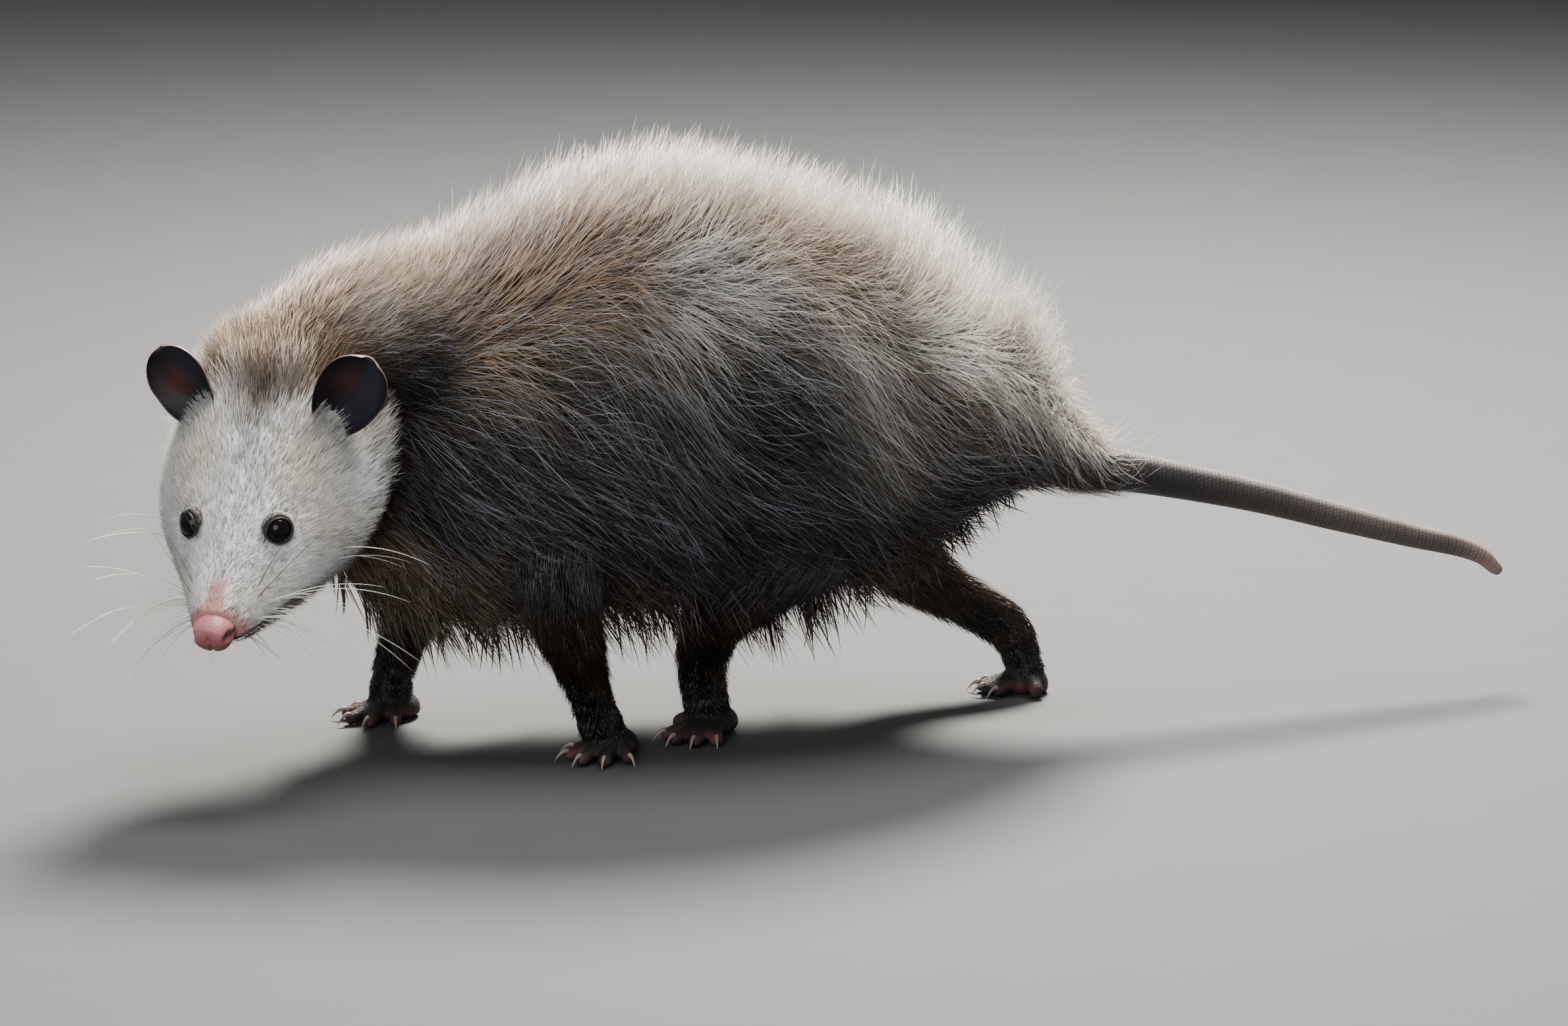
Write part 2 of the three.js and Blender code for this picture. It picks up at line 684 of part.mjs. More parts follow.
// The space below the mouth, ahead of its corners, as a block across the head.
function mouthBlock(inset) {
  const muzzleEnd = skull.sections.at(-1).s;
  const front = muzzleEnd + mouth.past;
  const slope = (mouth.frontZ - mouth.cornerZ) / (muzzleEnd - mouth.corner);
  const frontZ = mouth.frontZ + slope * mouth.past;
  const shape = new THREE.Shape();
  shape.moveTo(mouth.corner + inset, mouth.cornerZ - inset);
  shape.lineTo(front, frontZ - inset);
  shape.lineTo(front, mouth.floor);
  shape.lineTo(mouth.corner - mouth.backSlope + inset, mouth.floor);
  const block = new THREE.ExtrudeGeometry(shape, { depth: mouth.across, bevelEnabled: false });
  block.translate(0, 0, -mouth.across / 2);
  block.rotateX(Math.PI / 2);
  return solidFrom(block);
}

function ball(radius, at, scale = [1, 1, 1], around = 12, down = 8) {
  const geometry = new THREE.SphereGeometry(radius, around, down);
  geometry.scale(...scale);
  geometry.translate(...at);
  return solidFrom(geometry);
}

function eyePlace(side) {
  return new THREE.Vector3(eye.at[0], eye.at[1] * side, eye.at[2]);
}

function eyeLook(side) {
  const turn = radians(eye.yaw) * side;
  const lift = radians(eye.lift);
  return new THREE.Vector3(Math.cos(turn) * Math.cos(lift), Math.sin(turn) * Math.cos(lift), Math.sin(lift));
}

function makeHead() {
  let solid = makeSkull(0).subtract(mouthBlock(0));
  for (const side of [-1, 1]) {
    const place = eyePlace(side);
    const opening = place.clone().addScaledVector(eyeLook(side), eye.radius);
    solid = solid
      .add(ball(eye.radius + eye.lid, place.toArray()))
      .subtract(ball(eye.radius + gap, place.toArray()))
      .subtract(ball(eye.opening, opening.toArray(), [1, 1, 1], 10, 7));
    for (const whisker of whiskers.roots) {
      solid = solid.add(makeWhisker(whisker, side));
    }
  }
  return largest(solid);
}

function makeJaw() {
  const chin = blockBehind(new THREE.Vector3(mouth.chin, 0, 0), new THREE.Vector3(1, 0, 0));
  return largest(makeSkull(mouth.lip).intersect(mouthBlock(gap)).intersect(chin));
}

function makeNose() {
  const rings = nose.profile.map(({ out, share }) => {
    const centre = new THREE.Vector3(nose.from + gap / 2 + out * nose.length, 0, nose.z);
    const size = { wide: nose.wide * share, up: nose.up * share, down: nose.down * share };
    const shape = { ...size, square: nose.square };
    return makeRing(centre, aheadUp.left, aheadUp.up, shape, nose.sides);
  });
  let solid = loft(rings);
  const { radius, out, beside, above, scale } = nose.nostril;
  for (const side of [-1, 1]) {
    const at = [nose.from + nose.length * out, side * nose.wide * beside, nose.z + above];
    solid = solid.subtract(ball(radius, at, scale, 8, 5));
  }
  return largest(solid);
}

// An ear is a thin cupped paddle with triangles alike on both of its faces.
function makeEar(side) {
  const along = new THREE.Vector3(ear.along[0], ear.along[1] * side, ear.along[2]).normalize();
  const front = new THREE.Vector3(ear.facing[0], ear.facing[1] * side, ear.facing[2]);
  front.addScaledVector(along, -front.dot(along)).normalize();
  const across = along.clone().cross(front);
  const base = new THREE.Vector3(ear.base[0], ear.base[1] * side, ear.base[2]);
  const points = [];
  const steps = ear.steps;
  const rowAt = (row, face) => {
    const out = row / steps;
    const span = out > ear.widest ? ear.pointed - ear.widest : ear.waist * ear.widest;
    const half = ear.wide * Math.sqrt(1 - ((out - ear.widest) / span) ** 2);
    for (let column = 0; column <= steps; column++) {
      const share = 2 * column / steps - 1;
      const edge = share * share * (ear.edgeCurl - ear.edgeFade * out);
      const curl = ear.cup * (edge + ear.bend * out * out - ear.lean * out);
      const point = base.clone()
        .addScaledVector(along, (ear.length + ear.sink) * out - ear.sink)
        .addScaledVector(across, half * share)
        .addScaledVector(front, curl + face * ear.thick / 2);
      points.push(point);
    }
  };
  for (const face of [1, -1]) {
    for (let row = 0; row <= steps; row++) {
      rowAt(row, face);
    }
  }
  const width = steps + 1;
  const sheet = width * width;
  const faces = [];
  for (let row = 0; row < steps; row++) {
    for (let column = 0; column < steps; column++) {
      const a = row * width + column;
      faces.push([a, a + 1, a + width + 1], [a, a + width + 1, a + width]);
      faces.push([sheet + a, sheet + a + width + 1, sheet + a + 1]);
      faces.push([sheet + a, sheet + a + width, sheet + a + width + 1]);
    }
  }
  const rim = [];
  for (const edge of [(k) => k, (k) => k * width + steps]) {
    for (let k = 0; k < steps; k++) {
      rim.push(edge(k));
    }
  }
  for (const edge of [(k) => steps * width + k, (k) => k * width]) {
    for (let k = steps; k > 0; k--) {
      rim.push(edge(k));
    }
  }
  rim.forEach((a, k) => {
    const b = rim[(k + 1) % rim.length];
    faces.push([b, a, sheet + a], [b, sheet + a, sheet + b]);
  });
  return makeSolid(points, faces);
}

// Turns a solid into a named mesh with its own finish.
function makeMesh(name, solid, finish) {
  const { vertProperties, triVerts } = solid.getMesh();
  const geometry = new THREE.BufferGeometry();
  geometry.setAttribute('position', new THREE.BufferAttribute(new Float32Array(vertProperties), 3));
  geometry.setIndex(new THREE.BufferAttribute(new Uint32Array(triVerts), 1));
  geometry.computeVertexNormals();
  const [color, roughness] = finishes[finish];
  const mesh = new THREE.Mesh(geometry, new THREE.MeshStandardMaterial({ color, roughness, metalness: 0 }));
  mesh.name = name;
  return mesh;
}

const opossum = new THREE.Group();
const underFloor = blockBehind(new THREE.Vector3(0, 0, 0), new THREE.Vector3(0, 0, 1));

// The body is modelled whole and parted into trunk and neck by one sloping cut.
const body = makeBody(locks.core);
const grownBody = makeBody(locks.core, gap);
const cutNormal = new THREE.Vector3(-Math.cos(radians(neck.cutSlope)), 0, Math.sin(radians(neck.cutSlope)));
const cutPlace = new THREE.Vector3(...neck.cutAt);
const trunkSide = blockBehind(cutPlace.clone().addScaledVector(cutNormal, -gap / 2), cutNormal);
const pastCut = blockBehind(cutPlace.clone().addScaledVector(cutNormal, gap / 2), cutNormal);
const { ahead: headAhead, left: headLeft, up: headUp } = facing(head.yaw, head.pitch, head.roll);
const headPlace = new THREE.Vector3(...head.joint);
const headDown = new THREE.Vector3(-headAhead.z, -headLeft.z, -headUp.z);
const headTurn = new THREE.Matrix4().makeBasis(headAhead, headLeft, headUp).setPosition(headPlace);
const headSpace = makeSkull(-gap).transform(headTurn.elements);
const tailRoot = readSection(tail.line, 0).at;
const tailAlong = readSection(tail.line, 1).at.sub(tailRoot).normalize();
const rumpEnd = blockBehind(tailRoot, tailAlong);

// The locks are cut clear of the limbs, tail and head, and fused to the core of their own node.
const random = makeRandom(locks.seed);
const pastPlane = (point) => point.clone().sub(cutPlace).dot(cutNormal);
const limbSpace = wasm.Manifold.union(Object.keys(limbs).map((name) => makeLimb(name, gap)));
const trunkLocks = makeLocks(trunkSize, locks.trunkRows, (point) => pastPlane(point) < 0, random);
const neckLocks = makeLocks(neckSize, locks.neckRows, (point) => pastPlane(point) > 0, random);
const trunkCoat = body.add(trunkLocks.subtract(limbSpace));
const torso = largest(trunkCoat.intersect(trunkSide).subtract(headSpace).intersect(rumpEnd));
const neckCoat = body.add(neckLocks.subtract(limbSpace));
const neckSolid = largest(neckCoat.subtract(pastCut).subtract(headSpace));
opossum.add(makeMesh('torso', torso, 'coat'));
opossum.add(makeMesh('neck', neckSolid, 'coat'));

// Each limb is parted from its paw by a level cut, and the paw keeps the stub below it.
const upward = new THREE.Vector3(0, 0, 1);
const belowWrist = blockBehind(new THREE.Vector3(0, 0, wrist - gap / 2), upward);
const belowLimb = blockBehind(new THREE.Vector3(0, 0, wrist + gap / 2), upward);
for (const name of Object.keys(limbs)) {
  const limb = makeLimb(name);
  opossum.add(makeMesh(name, largest(limb.subtract(belowLimb).subtract(grownBody)), 'limb'));
  const pawName = name.replace('leg', 'paw');
  const paw = makePaw(paws[pawName]).add(limb).intersect(belowWrist).subtract(underFloor);
  opossum.add(makeMesh(pawName, largest(paw), 'limb'));
}

for (const [name, span] of Object.entries(tail.parts)) {
  const from = span[0] + gap;
  opossum.add(makeMesh(name, makeTailPart([from, span[1]]), 'tail'));
}

// The head's parts share its own frame.
const headGroup = new THREE.Group();
headGroup.position.copy(headPlace);
headGroup.setRotationFromMatrix(new THREE.Matrix4().makeBasis(headAhead, headLeft, headUp));
opossum.add(headGroup);
headGroup.add(makeMesh('head', makeHead(), 'face'));
headGroup.add(makeMesh('jaw', makeJaw(), 'face'));
headGroup.add(makeMesh('nose', makeNose(), 'nose'));
const grownSkull = makeSkull(-gap);
for (const [word, side] of [['left', 1], ['right', -1]]) {
  headGroup.add(makeMesh(`ear_${word}`, largest(makeEar(side).subtract(grownSkull)), 'ear'));
  headGroup.add(makeMesh(`eye_${word}`, ball(eye.radius, eyePlace(side).toArray()), 'eye'));
}

// The origin is on the floor under the middle of the whole model.
const bounds = new THREE.Box3().setFromObject(opossum, true);
const middle = bounds.getCenter(new THREE.Vector3());
opossum.position.set(-middle.x, -middle.y, 0);

const model = new THREE.Group();
model.add(opossum);

export default model;
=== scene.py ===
import math
import bmesh
import bpy
import numpy as np
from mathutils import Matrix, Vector
from mathutils.kdtree import KDTree


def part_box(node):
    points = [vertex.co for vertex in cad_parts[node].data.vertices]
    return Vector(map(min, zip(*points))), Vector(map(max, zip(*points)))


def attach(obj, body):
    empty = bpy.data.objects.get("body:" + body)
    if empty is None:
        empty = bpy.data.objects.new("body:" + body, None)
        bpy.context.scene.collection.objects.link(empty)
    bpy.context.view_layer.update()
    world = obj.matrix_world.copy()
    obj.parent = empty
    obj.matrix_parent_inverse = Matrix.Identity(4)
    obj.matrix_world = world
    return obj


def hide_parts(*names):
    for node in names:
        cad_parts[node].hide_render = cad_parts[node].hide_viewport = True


# A Virginia opossum in mid stride. Shapes are worked out in millimetres in the animal's own frame,
# where it faces -X with its left side towards -Y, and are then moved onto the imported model.

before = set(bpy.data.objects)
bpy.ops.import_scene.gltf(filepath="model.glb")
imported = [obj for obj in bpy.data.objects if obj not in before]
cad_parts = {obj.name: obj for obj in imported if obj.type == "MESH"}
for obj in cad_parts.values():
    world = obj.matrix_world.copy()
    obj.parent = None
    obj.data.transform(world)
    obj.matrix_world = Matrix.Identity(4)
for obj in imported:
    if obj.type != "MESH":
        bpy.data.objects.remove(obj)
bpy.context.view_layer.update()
rng = np.random.default_rng(11)

trunkRows = [  # place, top, bottom, half width, coat above, beside and below
    [-190, 139, 88, 17, 10, 8, 8], [-181, 168, 69, 35, 14, 12, 12], [-166, 193, 56, 46, 20, 14, 14],
    [-140, 212, 49, 55, 26, 16, 15], [-110, 227, 47, 62, 31, 18, 16], [-80, 238, 50, 70, 34, 20, 17],
    [-48, 244, 51, 76, 37, 22, 18], [-15, 241, 50, 78, 39, 24, 19], [16, 233, 52, 78, 41, 26, 18],
    [42, 221, 58, 74, 42, 26, 17], [65, 205, 70, 66, 41, 24, 15], [86, 187, 85, 54, 38, 21, 12],
    [105, 168, 94, 40, 31, 17, 9], [122, 150, 95, 27, 22, 12, 6], [137, 126, 92, 14, 8, 5, 3],
    [148, 112, 92, 10, 4, 3, 2],
]
head = {"joint": (-196.2, -11.5, 148), "yaw": 59.5, "pitch": 33.9}
neckRows = [  # place, centre, yaw, pitch, half width, up, down, coat
    [0, -122, 0, 142, 0, 0, 50, 66, 58, 24], [25, -147, -0.5, 146, 14, 6, 48, 60, 60, 20],
    [45, -166.5, -3.5, 147.5, 30, 14, 45, 55, 58, 15], [60, -181, -7.5, 148, 44, 24, 43, 48, 53, 9],
    [75, *head["joint"], head["yaw"], head["pitch"], 41.5, 38, 47.5, 5],
]
skullRows = [  # place, half width, top, bottom, fullness of the crown, coat
    [0, 43.5, 37, -49, 2.1, 6], [15, 47, 36.5, -49.5, 2.1, 6.5], [30, 49, 34, -47.5, 2.05, 6.5],
    [45, 48, 30.5, -44.5, 2, 5.5], [60, 43.5, 25.5, -41, 1.9, 4.2], [75, 35.5, 20, -37, 1.85, 3],
    [88, 27.5, 13, -32.5, 1.8, 2.2], [100, 20.5, 7, -28, 1.8, 1.6], [110, 15, 2.5, -23.5, 1.9, 1],
    [118, 10.5, -0.5, -19, 2, 0.5],
]
limbRows = {  # place, centre, half size fore and aft, half size across
    "foreleg_left": [[0, -98, -36, 104, 22, 17], [30, -97, -42, 76, 18, 14], [50, -93.5, -45, 57, 14.5, 12],
                     [66, -89, -46, 42, 11, 10], [84, -84, -46, 25, 9.8, 8.8], [103, -77, -44, 7, 9.5, 9]],
    "foreleg_right": [[0, -116, 36, 104, 22, 17], [30, -130, 40, 76, 18, 14], [52, -139, 42, 56, 14.5, 12],
                      [72, -144.5, 42, 36, 11, 10], [86, -149.5, 42, 22, 9.5, 8.8],
                      [103, -152, 42, 7, 9.2, 8.8]],
    "hindleg_left": [[0, 26, -36, 104, 30, 20], [32, 0, -37, 84, 25, 18], [58, -18, -33, 64, 17, 14],
                     [75, -28, -26, 50, 13, 12], [90, -31, -21, 35, 11.3, 10.5],
                     [103, -30.5, -18.5, 22, 10.5, 9.5], [118, -28, -17, 7, 10, 9]],
    "hindleg_right": [[0, 50, 33, 108, 32, 20], [28, 56, 32, 80, 24, 18], [50, 68, 30, 60, 17, 14],
                      [72, 85, 28, 45, 12, 11], [94, 104, 26, 34, 11, 10], [108, 114.5, 25, 26, 10.5, 9],
                      [118, 118.5, 23, 17, 8.8, 8.4], [129, 121, 21, 7, 8.6, 8.4]],
}
tailRows = [  # place, centre, half thickness
    [0, 136, 0, 103.8, 9.4], [46, 179.6, 0, 94.1, 7.8], [81, 214.7, 0, 85.5, 6.9], [118, 250.2, 0, 75, 6.1],
    [156, 286, 0, 64.5, 5.1], [178, 307.6, 0, 58.6, 4.4], [189, 318, 0, 54, 3.7], [198, 324.6, 0, 48.2, 2.9],
]
fullness = {"trunk": 2.15, "neck": 2.1, "skull": 2.1, "limb": 2}  # 2 is an ellipse, more is squarer
nape = {"skin": 16, "hair": 30}  # how far the head's round end reaches, and how much further its hair
leftWay, upWay = np.array([0, -1.0, 0]), np.array([0, 0, 1.0])


def readRows(rows, s):
    rows = np.asarray(rows, float)
    s = np.clip(np.atleast_1d(np.asarray(s, float)), rows[0, 0], rows[-1, 0])
    i = np.clip(np.searchsorted(rows[:, 0], s, side="right") - 1, 0, len(rows) - 2)
    before, start = rows[np.maximum(i - 1, 0)], rows[i]
    end, after = rows[i + 1], rows[np.minimum(i + 2, len(rows) - 1)]
    span = end[:, :1] - start[:, :1]
    t = (s[:, None] - start[:, :1]) / span
    leave = (end - before) / np.maximum(end[:, :1] - before[:, :1], span)
    arrive = (after - start) / np.maximum(after[:, :1] - start[:, :1], span)
    t2, t3 = t * t, t * t * t
    return ((2 * t3 - 3 * t2 + 1) * start + (t3 - 2 * t2 + t) * span * leave
            + (3 * t2 - 2 * t3) * end + (t3 - t2) * span * arrive)


def unit(v):
    return v / np.maximum(np.linalg.norm(v, axis=-1, keepdims=True), 1e-9)


def smoothStep(low, high, x):
    t = np.clip((x - low) / (high - low), 0, 1)
    return t * t * (3 - 2 * t)


def waves(p, size, seed):
    draw = np.random.default_rng(seed)
    total = 0
    for _ in range(7):
        way = unit(draw.normal(size=3)) * 2 * np.pi / (size * draw.uniform(0.7, 1.5))
        total = total + np.sin(p @ way + draw.uniform(0, 6.28))
    return total / 3.2


def turns(count):
    return np.arange(count) * 2 * np.pi / count


def facing(yaw, pitch=0.0):
    turn, dip = np.radians(np.asarray(yaw, float)), np.radians(np.asarray(pitch, float))
    ahead = np.stack([-np.cos(turn) * np.cos(dip), -np.sin(turn) * np.cos(dip), -np.sin(dip)], -1)
    left = np.stack([np.sin(turn), -np.cos(turn), 0 * turn], -1)
    return ahead, left, np.cross(ahead, left)


headAhead, headLeft, headUp = facing(head["yaw"], head["pitch"])
headPlace = np.array(head["joint"], float)


def fromHead(p):
    p = np.asarray(p, float)
    return headPlace + p[..., :1] * headAhead + p[..., 1:2] * headLeft + p[..., 2:3] * headUp


def toHead(p):
    d = p - headPlace
    return np.stack([d @ headAhead, d @ headLeft, d @ headUp], -1)


eye = {"at": (79.2, 17.7, 8), "radius": 5.6, "yaw": 38, "lift": 28, "open": 56, "lidRadius": 6.0}


def eyePlace(side):
    return np.array([eye["at"][0], eye["at"][1] * side, eye["at"][2]])


def eyeLook(side):
    turn, lift = math.radians(eye["yaw"]) * side, math.radians(eye["lift"])
    return np.array([math.cos(turn) * math.cos(lift), math.sin(turn) * math.cos(lift), math.sin(lift)])


eyeLow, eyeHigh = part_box("eye_left")
eyeMiddle = np.array((eyeLow + eyeHigh) / 2) * 1000
shift = fromHead(eye["at"]) - eyeMiddle  # the animal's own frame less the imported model's


def toScene(p):
    return (np.asarray(p, float) - shift) * 0.001


def ringPlace(centre, left, up, wide, high, deep, angle, square, peak):
    across, rise = np.sin(angle), np.cos(angle)
    power = 2 / np.where(rise > 0, peak, square)
    y = np.sign(across) * np.abs(across) ** power * wide
    z = np.sign(rise) * np.abs(rise) ** power * np.where(rise > 0, high, deep)
    return centre + left * y[:, None] + up * z[:, None]


# Each form gives its surface from a place along it, an angle round it from the top towards the
# left, and a lift that is 0 at the skin and 1 at the tips of the coat.
def trunkSize(s, lift):
    _, top, bottom, wide, above, beside, below = readRows(trunkRows, s).T
    middle = bottom + 0.45 * (top - bottom)
    bare = 1 - lift
    return middle, wide - bare * beside, top - middle - bare * above, middle - bottom - bare * below


def trunkForm(s, angle, lift):
    middle, *size = trunkSize(s, lift)
    centre = np.stack([s, 0 * s, middle], 1)
    return ringPlace(centre, leftWay, upWay, *size, angle, fullness["trunk"], fullness["trunk"])


def neckSize(s, lift):
    _, x, y, z, yaw, pitch, wide, high, deep, coat = readRows(neckRows, s).T
    inset = (1 - lift) * coat
    return np.stack([x, y, z], 1), facing(yaw, pitch), wide - inset, high - inset, deep - inset


def neckForm(s, angle, lift):
    centre, (_, left, up), *size = neckSize(s, lift)
    return ringPlace(centre, left, up, *size, angle, fullness["neck"], fullness["neck"])


def skullSize(s, lift):
    _, wide, top, bottom, peak, coat = readRows(skullRows, s).T
    inset = (1 - lift) * coat
    middle = (top + bottom) / 2 - 0.12 * (top - bottom) * np.clip(s / 60, 0, 1)
    # behind its first ring the head closes in a round end, more slowly at the tips of the hair
    past = np.clip(-s, 0, None) / (nape["skin"] + nape["hair"] * np.clip(lift, 0, 1))
    closing = np.sqrt(np.clip(1 - past ** 2, 0.0016, 1))
    size = (wide - inset, top - middle - inset, middle - bottom - inset)
    return middle, *(half * closing for half in size), peak


def skullLean(s):
    return -2 * smoothStep(95, 50, s)


def skullForm(s, angle, lift):
    middle, *size, peak = skullSize(s, lift)
    centre = fromHead(np.stack([s, skullLean(s), middle], 1))
    return ringPlace(centre, headLeft, headUp, *size, angle, fullness["skull"], peak)


def limbCoat(z):
    return np.clip(1.0 + (z - 14) * 0.055, 1.0, 6.5)


def limbForm(name):
    rows = limbRows[name]

    def place(s, angle, lift):
        row = readRows(rows, s)
        along = unit(readRows(rows, s + 1)[:, 1:4] - readRows(rows, s - 1)[:, 1:4])
        side = unit(leftWay + along * along[:, 1:2])
        inset = (1 - lift) * limbCoat(row[:, 3])
        size = row[:, 4] - inset
        return ringPlace(row[:, 1:4], side, np.cross(along, side), row[:, 5] - inset, size, size, angle,
                         fullness["limb"], fullness["limb"])
    return place


# How deep a point lies in each form's skin: under 1 is inside.
def superDepth(y, z, wide, high, deep, square):
    tall = np.where(z > 0, high, deep)
    return (np.abs(y / wide) ** square + np.abs(z / tall) ** square) ** (1 / square)


def depthInTrunk(p, lift=0.0):
    middle, *size = trunkSize(p[:, 0], np.full(len(p), lift))
    depth = superDepth(p[:, 1], p[:, 2] - middle, *size, fullness["trunk"])
    return np.where((p[:, 0] > -190) & (p[:, 0] < 148), depth, 9)


def depthInNeck(p):
    places = np.linspace(0, 75, 31)
    centre, (ahead, left, up), wide, high, deep = neckSize(places, 0 * places)
    away = p[:, None] - centre[None]
    off = np.abs(np.einsum("nkc,kc->nk", away, ahead))
    k = off.argmin(1)
    away = away[np.arange(len(p)), k]
    y, z = (away * left[k]).sum(1), (away * up[k]).sum(1)
    depth = superDepth(y, z, wide[k], high[k], deep[k], fullness["neck"])
    return np.where(off.min(1) < 4, depth, 9)


def depthInSkull(p):
    q = toHead(p)
    middle, *size, _ = skullSize(q[:, 0], np.zeros(len(p)))
    depth = superDepth(q[:, 1] - skullLean(q[:, 0]), q[:, 2] - middle, *size, 2.05)
    return np.where((q[:, 0] > -nape["skin"]) & (q[:, 0] < 118), depth, 9)


def depthInLimb(p, name):
    rows = np.asarray(limbRows[name], float)
    line = readRows(rows, np.linspace(0, rows[-1, 0], 40))
    away = np.linalg.norm(p[:, None] - line[None, :, 1:4], axis=2)
    k = away.argmin(1)
    size = (line[k, 4] + line[k, 5]) / 2 - limbCoat(line[k, 3])
    return away[np.arange(len(p)), k] / size


def clearOfLimbs(p):
    return np.min([depthInLimb(p, name) for name in limbRows], axis=0) > 0.8


print("forms ready")


# Shader maths: a wire carries a socket, and its operators add the nodes.
def feed(socket, value):
    if isinstance(value, Wire):
        socket.id_data.links.new(value.socket, socket)
    elif isinstance(value, tuple) and socket.type == "RGBA":
        socket.default_value = (*value, 1)
    else:
        socket.default_value = value


class Wire:
    def __init__(self, socket):
        self.socket = socket

    def math(self, kind, other):
        node = self.socket.id_data.nodes.new("ShaderNodeMath")
        node.operation = kind
        feed(node.inputs[0], self)
        feed(node.inputs[1], other)
        return Wire(node.outputs[0])

    def __add__(self, other):
        return self.math("ADD", other)

    def __mul__(self, other):
        return self.math("MULTIPLY", other)


class Paint:
    def __init__(self, name):
        self.material = bpy.data.materials.new(name)
        self.material.use_nodes = True
        self.nodes = self.material.node_tree.nodes
        self.shader = self.nodes["Principled BSDF"]

    def node(self, kind, output, **values):
        node = self.nodes.new("ShaderNode" + kind)
        for name, value in values.items():
            feed(node.inputs[name], value)
        return Wire(node.outputs[output])

    def coords(self):
        return self.node("TexCoord", "Object")

    def noise(self, scale, detail=3.0):
        return self.node("TexNoise", "Fac", Scale=scale, Detail=detail, Roughness=0.5, Vector=self.coords())

    def cells(self, scale):
        return self.node("TexVoronoi", "Distance", Scale=scale, Vector=self.coords())

    def mix(self, factor, first, second, kind="MIX"):
        node = self.nodes.new("ShaderNodeMix")
        node.data_type = "RGBA"
        node.blend_type = kind
        for place, value in ((0, factor), (6, first), (7, second)):
            feed(node.inputs[place], value)
        return Wire(node.outputs[2])

    # the mesh's own colours, markings and painted light and shade alike, darker where the grain is low
    def markingsAndPaintedLight(self, grain, dark):
        node = self.nodes.new("ShaderNodeAttribute")
        node.attribute_name = "coatColour"
        return self.mix(1.0, Wire(node.outputs["Color"]), self.mix(grain, dark, (1.0, 1.0, 1.0)), "MULTIPLY")

    def set(self, **values):
        for name, value in values.items():
            feed(self.shader.inputs[name.replace("_", " ")], value)
        return self

    def bump(self, height, strength, distance):
        feed(self.shader.inputs["Normal"],
             self.node("Bump", "Normal", Strength=strength, Distance=distance, Height=height))
        return self

    def glow(self, share, colour):
        through = self.node("BsdfTranslucent", 0, Color=colour)
        mixer = self.nodes.new("ShaderNodeMixShader")
        for place, value in enumerate((share, Wire(self.shader.outputs[0]), through)):
            feed(mixer.inputs[place], value)
        feed(self.nodes["Material Output"].inputs["Surface"], Wire(mixer.outputs[0]))
        return self


coatKinds = {  # roughness, share of light let through, and shine
    "softCoat": (0.6, 0.35, 0.2), "guardHair": (0.42, 0.5, 0.35), "faceHair": (0.6, 0.35, 0.2),
    "wetHair": (0.24, 0.0, 0.45),
}


def coatPaint(name):
    rough, through, shine = coatKinds[name]
    paint = Paint(name)
    grain = paint.noise(260.0, 2.0)
    shade = paint.markingsAndPaintedLight(grain, (0.7, 0.7, 0.7))
    paint.set(Base_Color=shade, Roughness=grain * 0.2 + (rough - 0.1), Specular_IOR_Level=shine)
    if through:
        paint.glow(through, shade)
    return paint.material


def skinPaint():
    paint = Paint("bareSkin")
    mottle = paint.noise(190.0, 4.0)
    shade = paint.markingsAndPaintedLight(mottle, (0.6, 0.58, 0.56))
    paint.set(Base_Color=shade, Roughness=mottle * 0.3 + 0.45, Specular_IOR_Level=0.2)
    return paint.bump(paint.cells(900.0) + paint.noise(420.0) * 0.6, 0.5, 0.0004).material


coatMaterials = {name: coatPaint(name) for name in coatKinds}
skinMaterial = skinPaint()


def linkNew(name, data):
    piece = bpy.data.objects.new(name, data)
    bpy.context.scene.collection.objects.link(piece)
    return piece


def makeObject(name, points, faces, material):
    mesh = bpy.data.meshes.new(name)
    mesh.from_pydata([tuple(p) for p in toScene(points)], [], [tuple(f) for f in faces])
    mesh.validate()
    mesh.update()
    work = bmesh.new()
    work.from_mesh(mesh)
    bmesh.ops.recalc_face_normals(work, faces=work.faces)
    work.to_mesh(mesh)
    work.free()
    mesh.materials.append(material)
    mesh.polygons.foreach_set("use_smooth", [True] * len(mesh.polygons))
    return linkNew(name, mesh)


def loftFaces(rings, sides, start=0):
    faces = []
    for r in range(rings - 1):
        for k in range(sides):
            a, b = start + r * sides + k, start + r * sides + (k + 1) % sides
            faces.append((a, b, b + sides, a + sides))
    faces.append(tuple(start + k for k in reversed(range(sides))))
    faces.append(tuple(start + (rings - 1) * sides + k for k in range(sides)))
    return faces


def loftForm(form, places, sides):
    angle = np.tile(turns(sides), len(places))
    s = np.repeat(places, sides)
    return form(s, angle, np.zeros(len(s))), loftFaces(len(places), sides)


def tubePoints(centres, radius, across, over, sides):
    angle = turns(sides)[None, :, None]
    ring = np.cos(angle) * over[:, None] + np.sin(angle) * across[:, None]
    return (centres[:, None] + ring * radius[..., None]).reshape(-1, 3)


def setColour(mesh, colours):
    layer = mesh.attributes.new("coatColour", "FLOAT_COLOR", "POINT")
    full = np.ones((len(mesh.vertices), 4), np.float32)
    full[:, :3] = colours
    layer.data.foreach_set("color", full.ravel())


def meshPoints(mesh):
    flat = np.empty(len(mesh.vertices) * 3, np.float32)
    mesh.vertices.foreach_get("co", flat)
    return flat.reshape(-1, 3).astype(float) * 1000 + shift


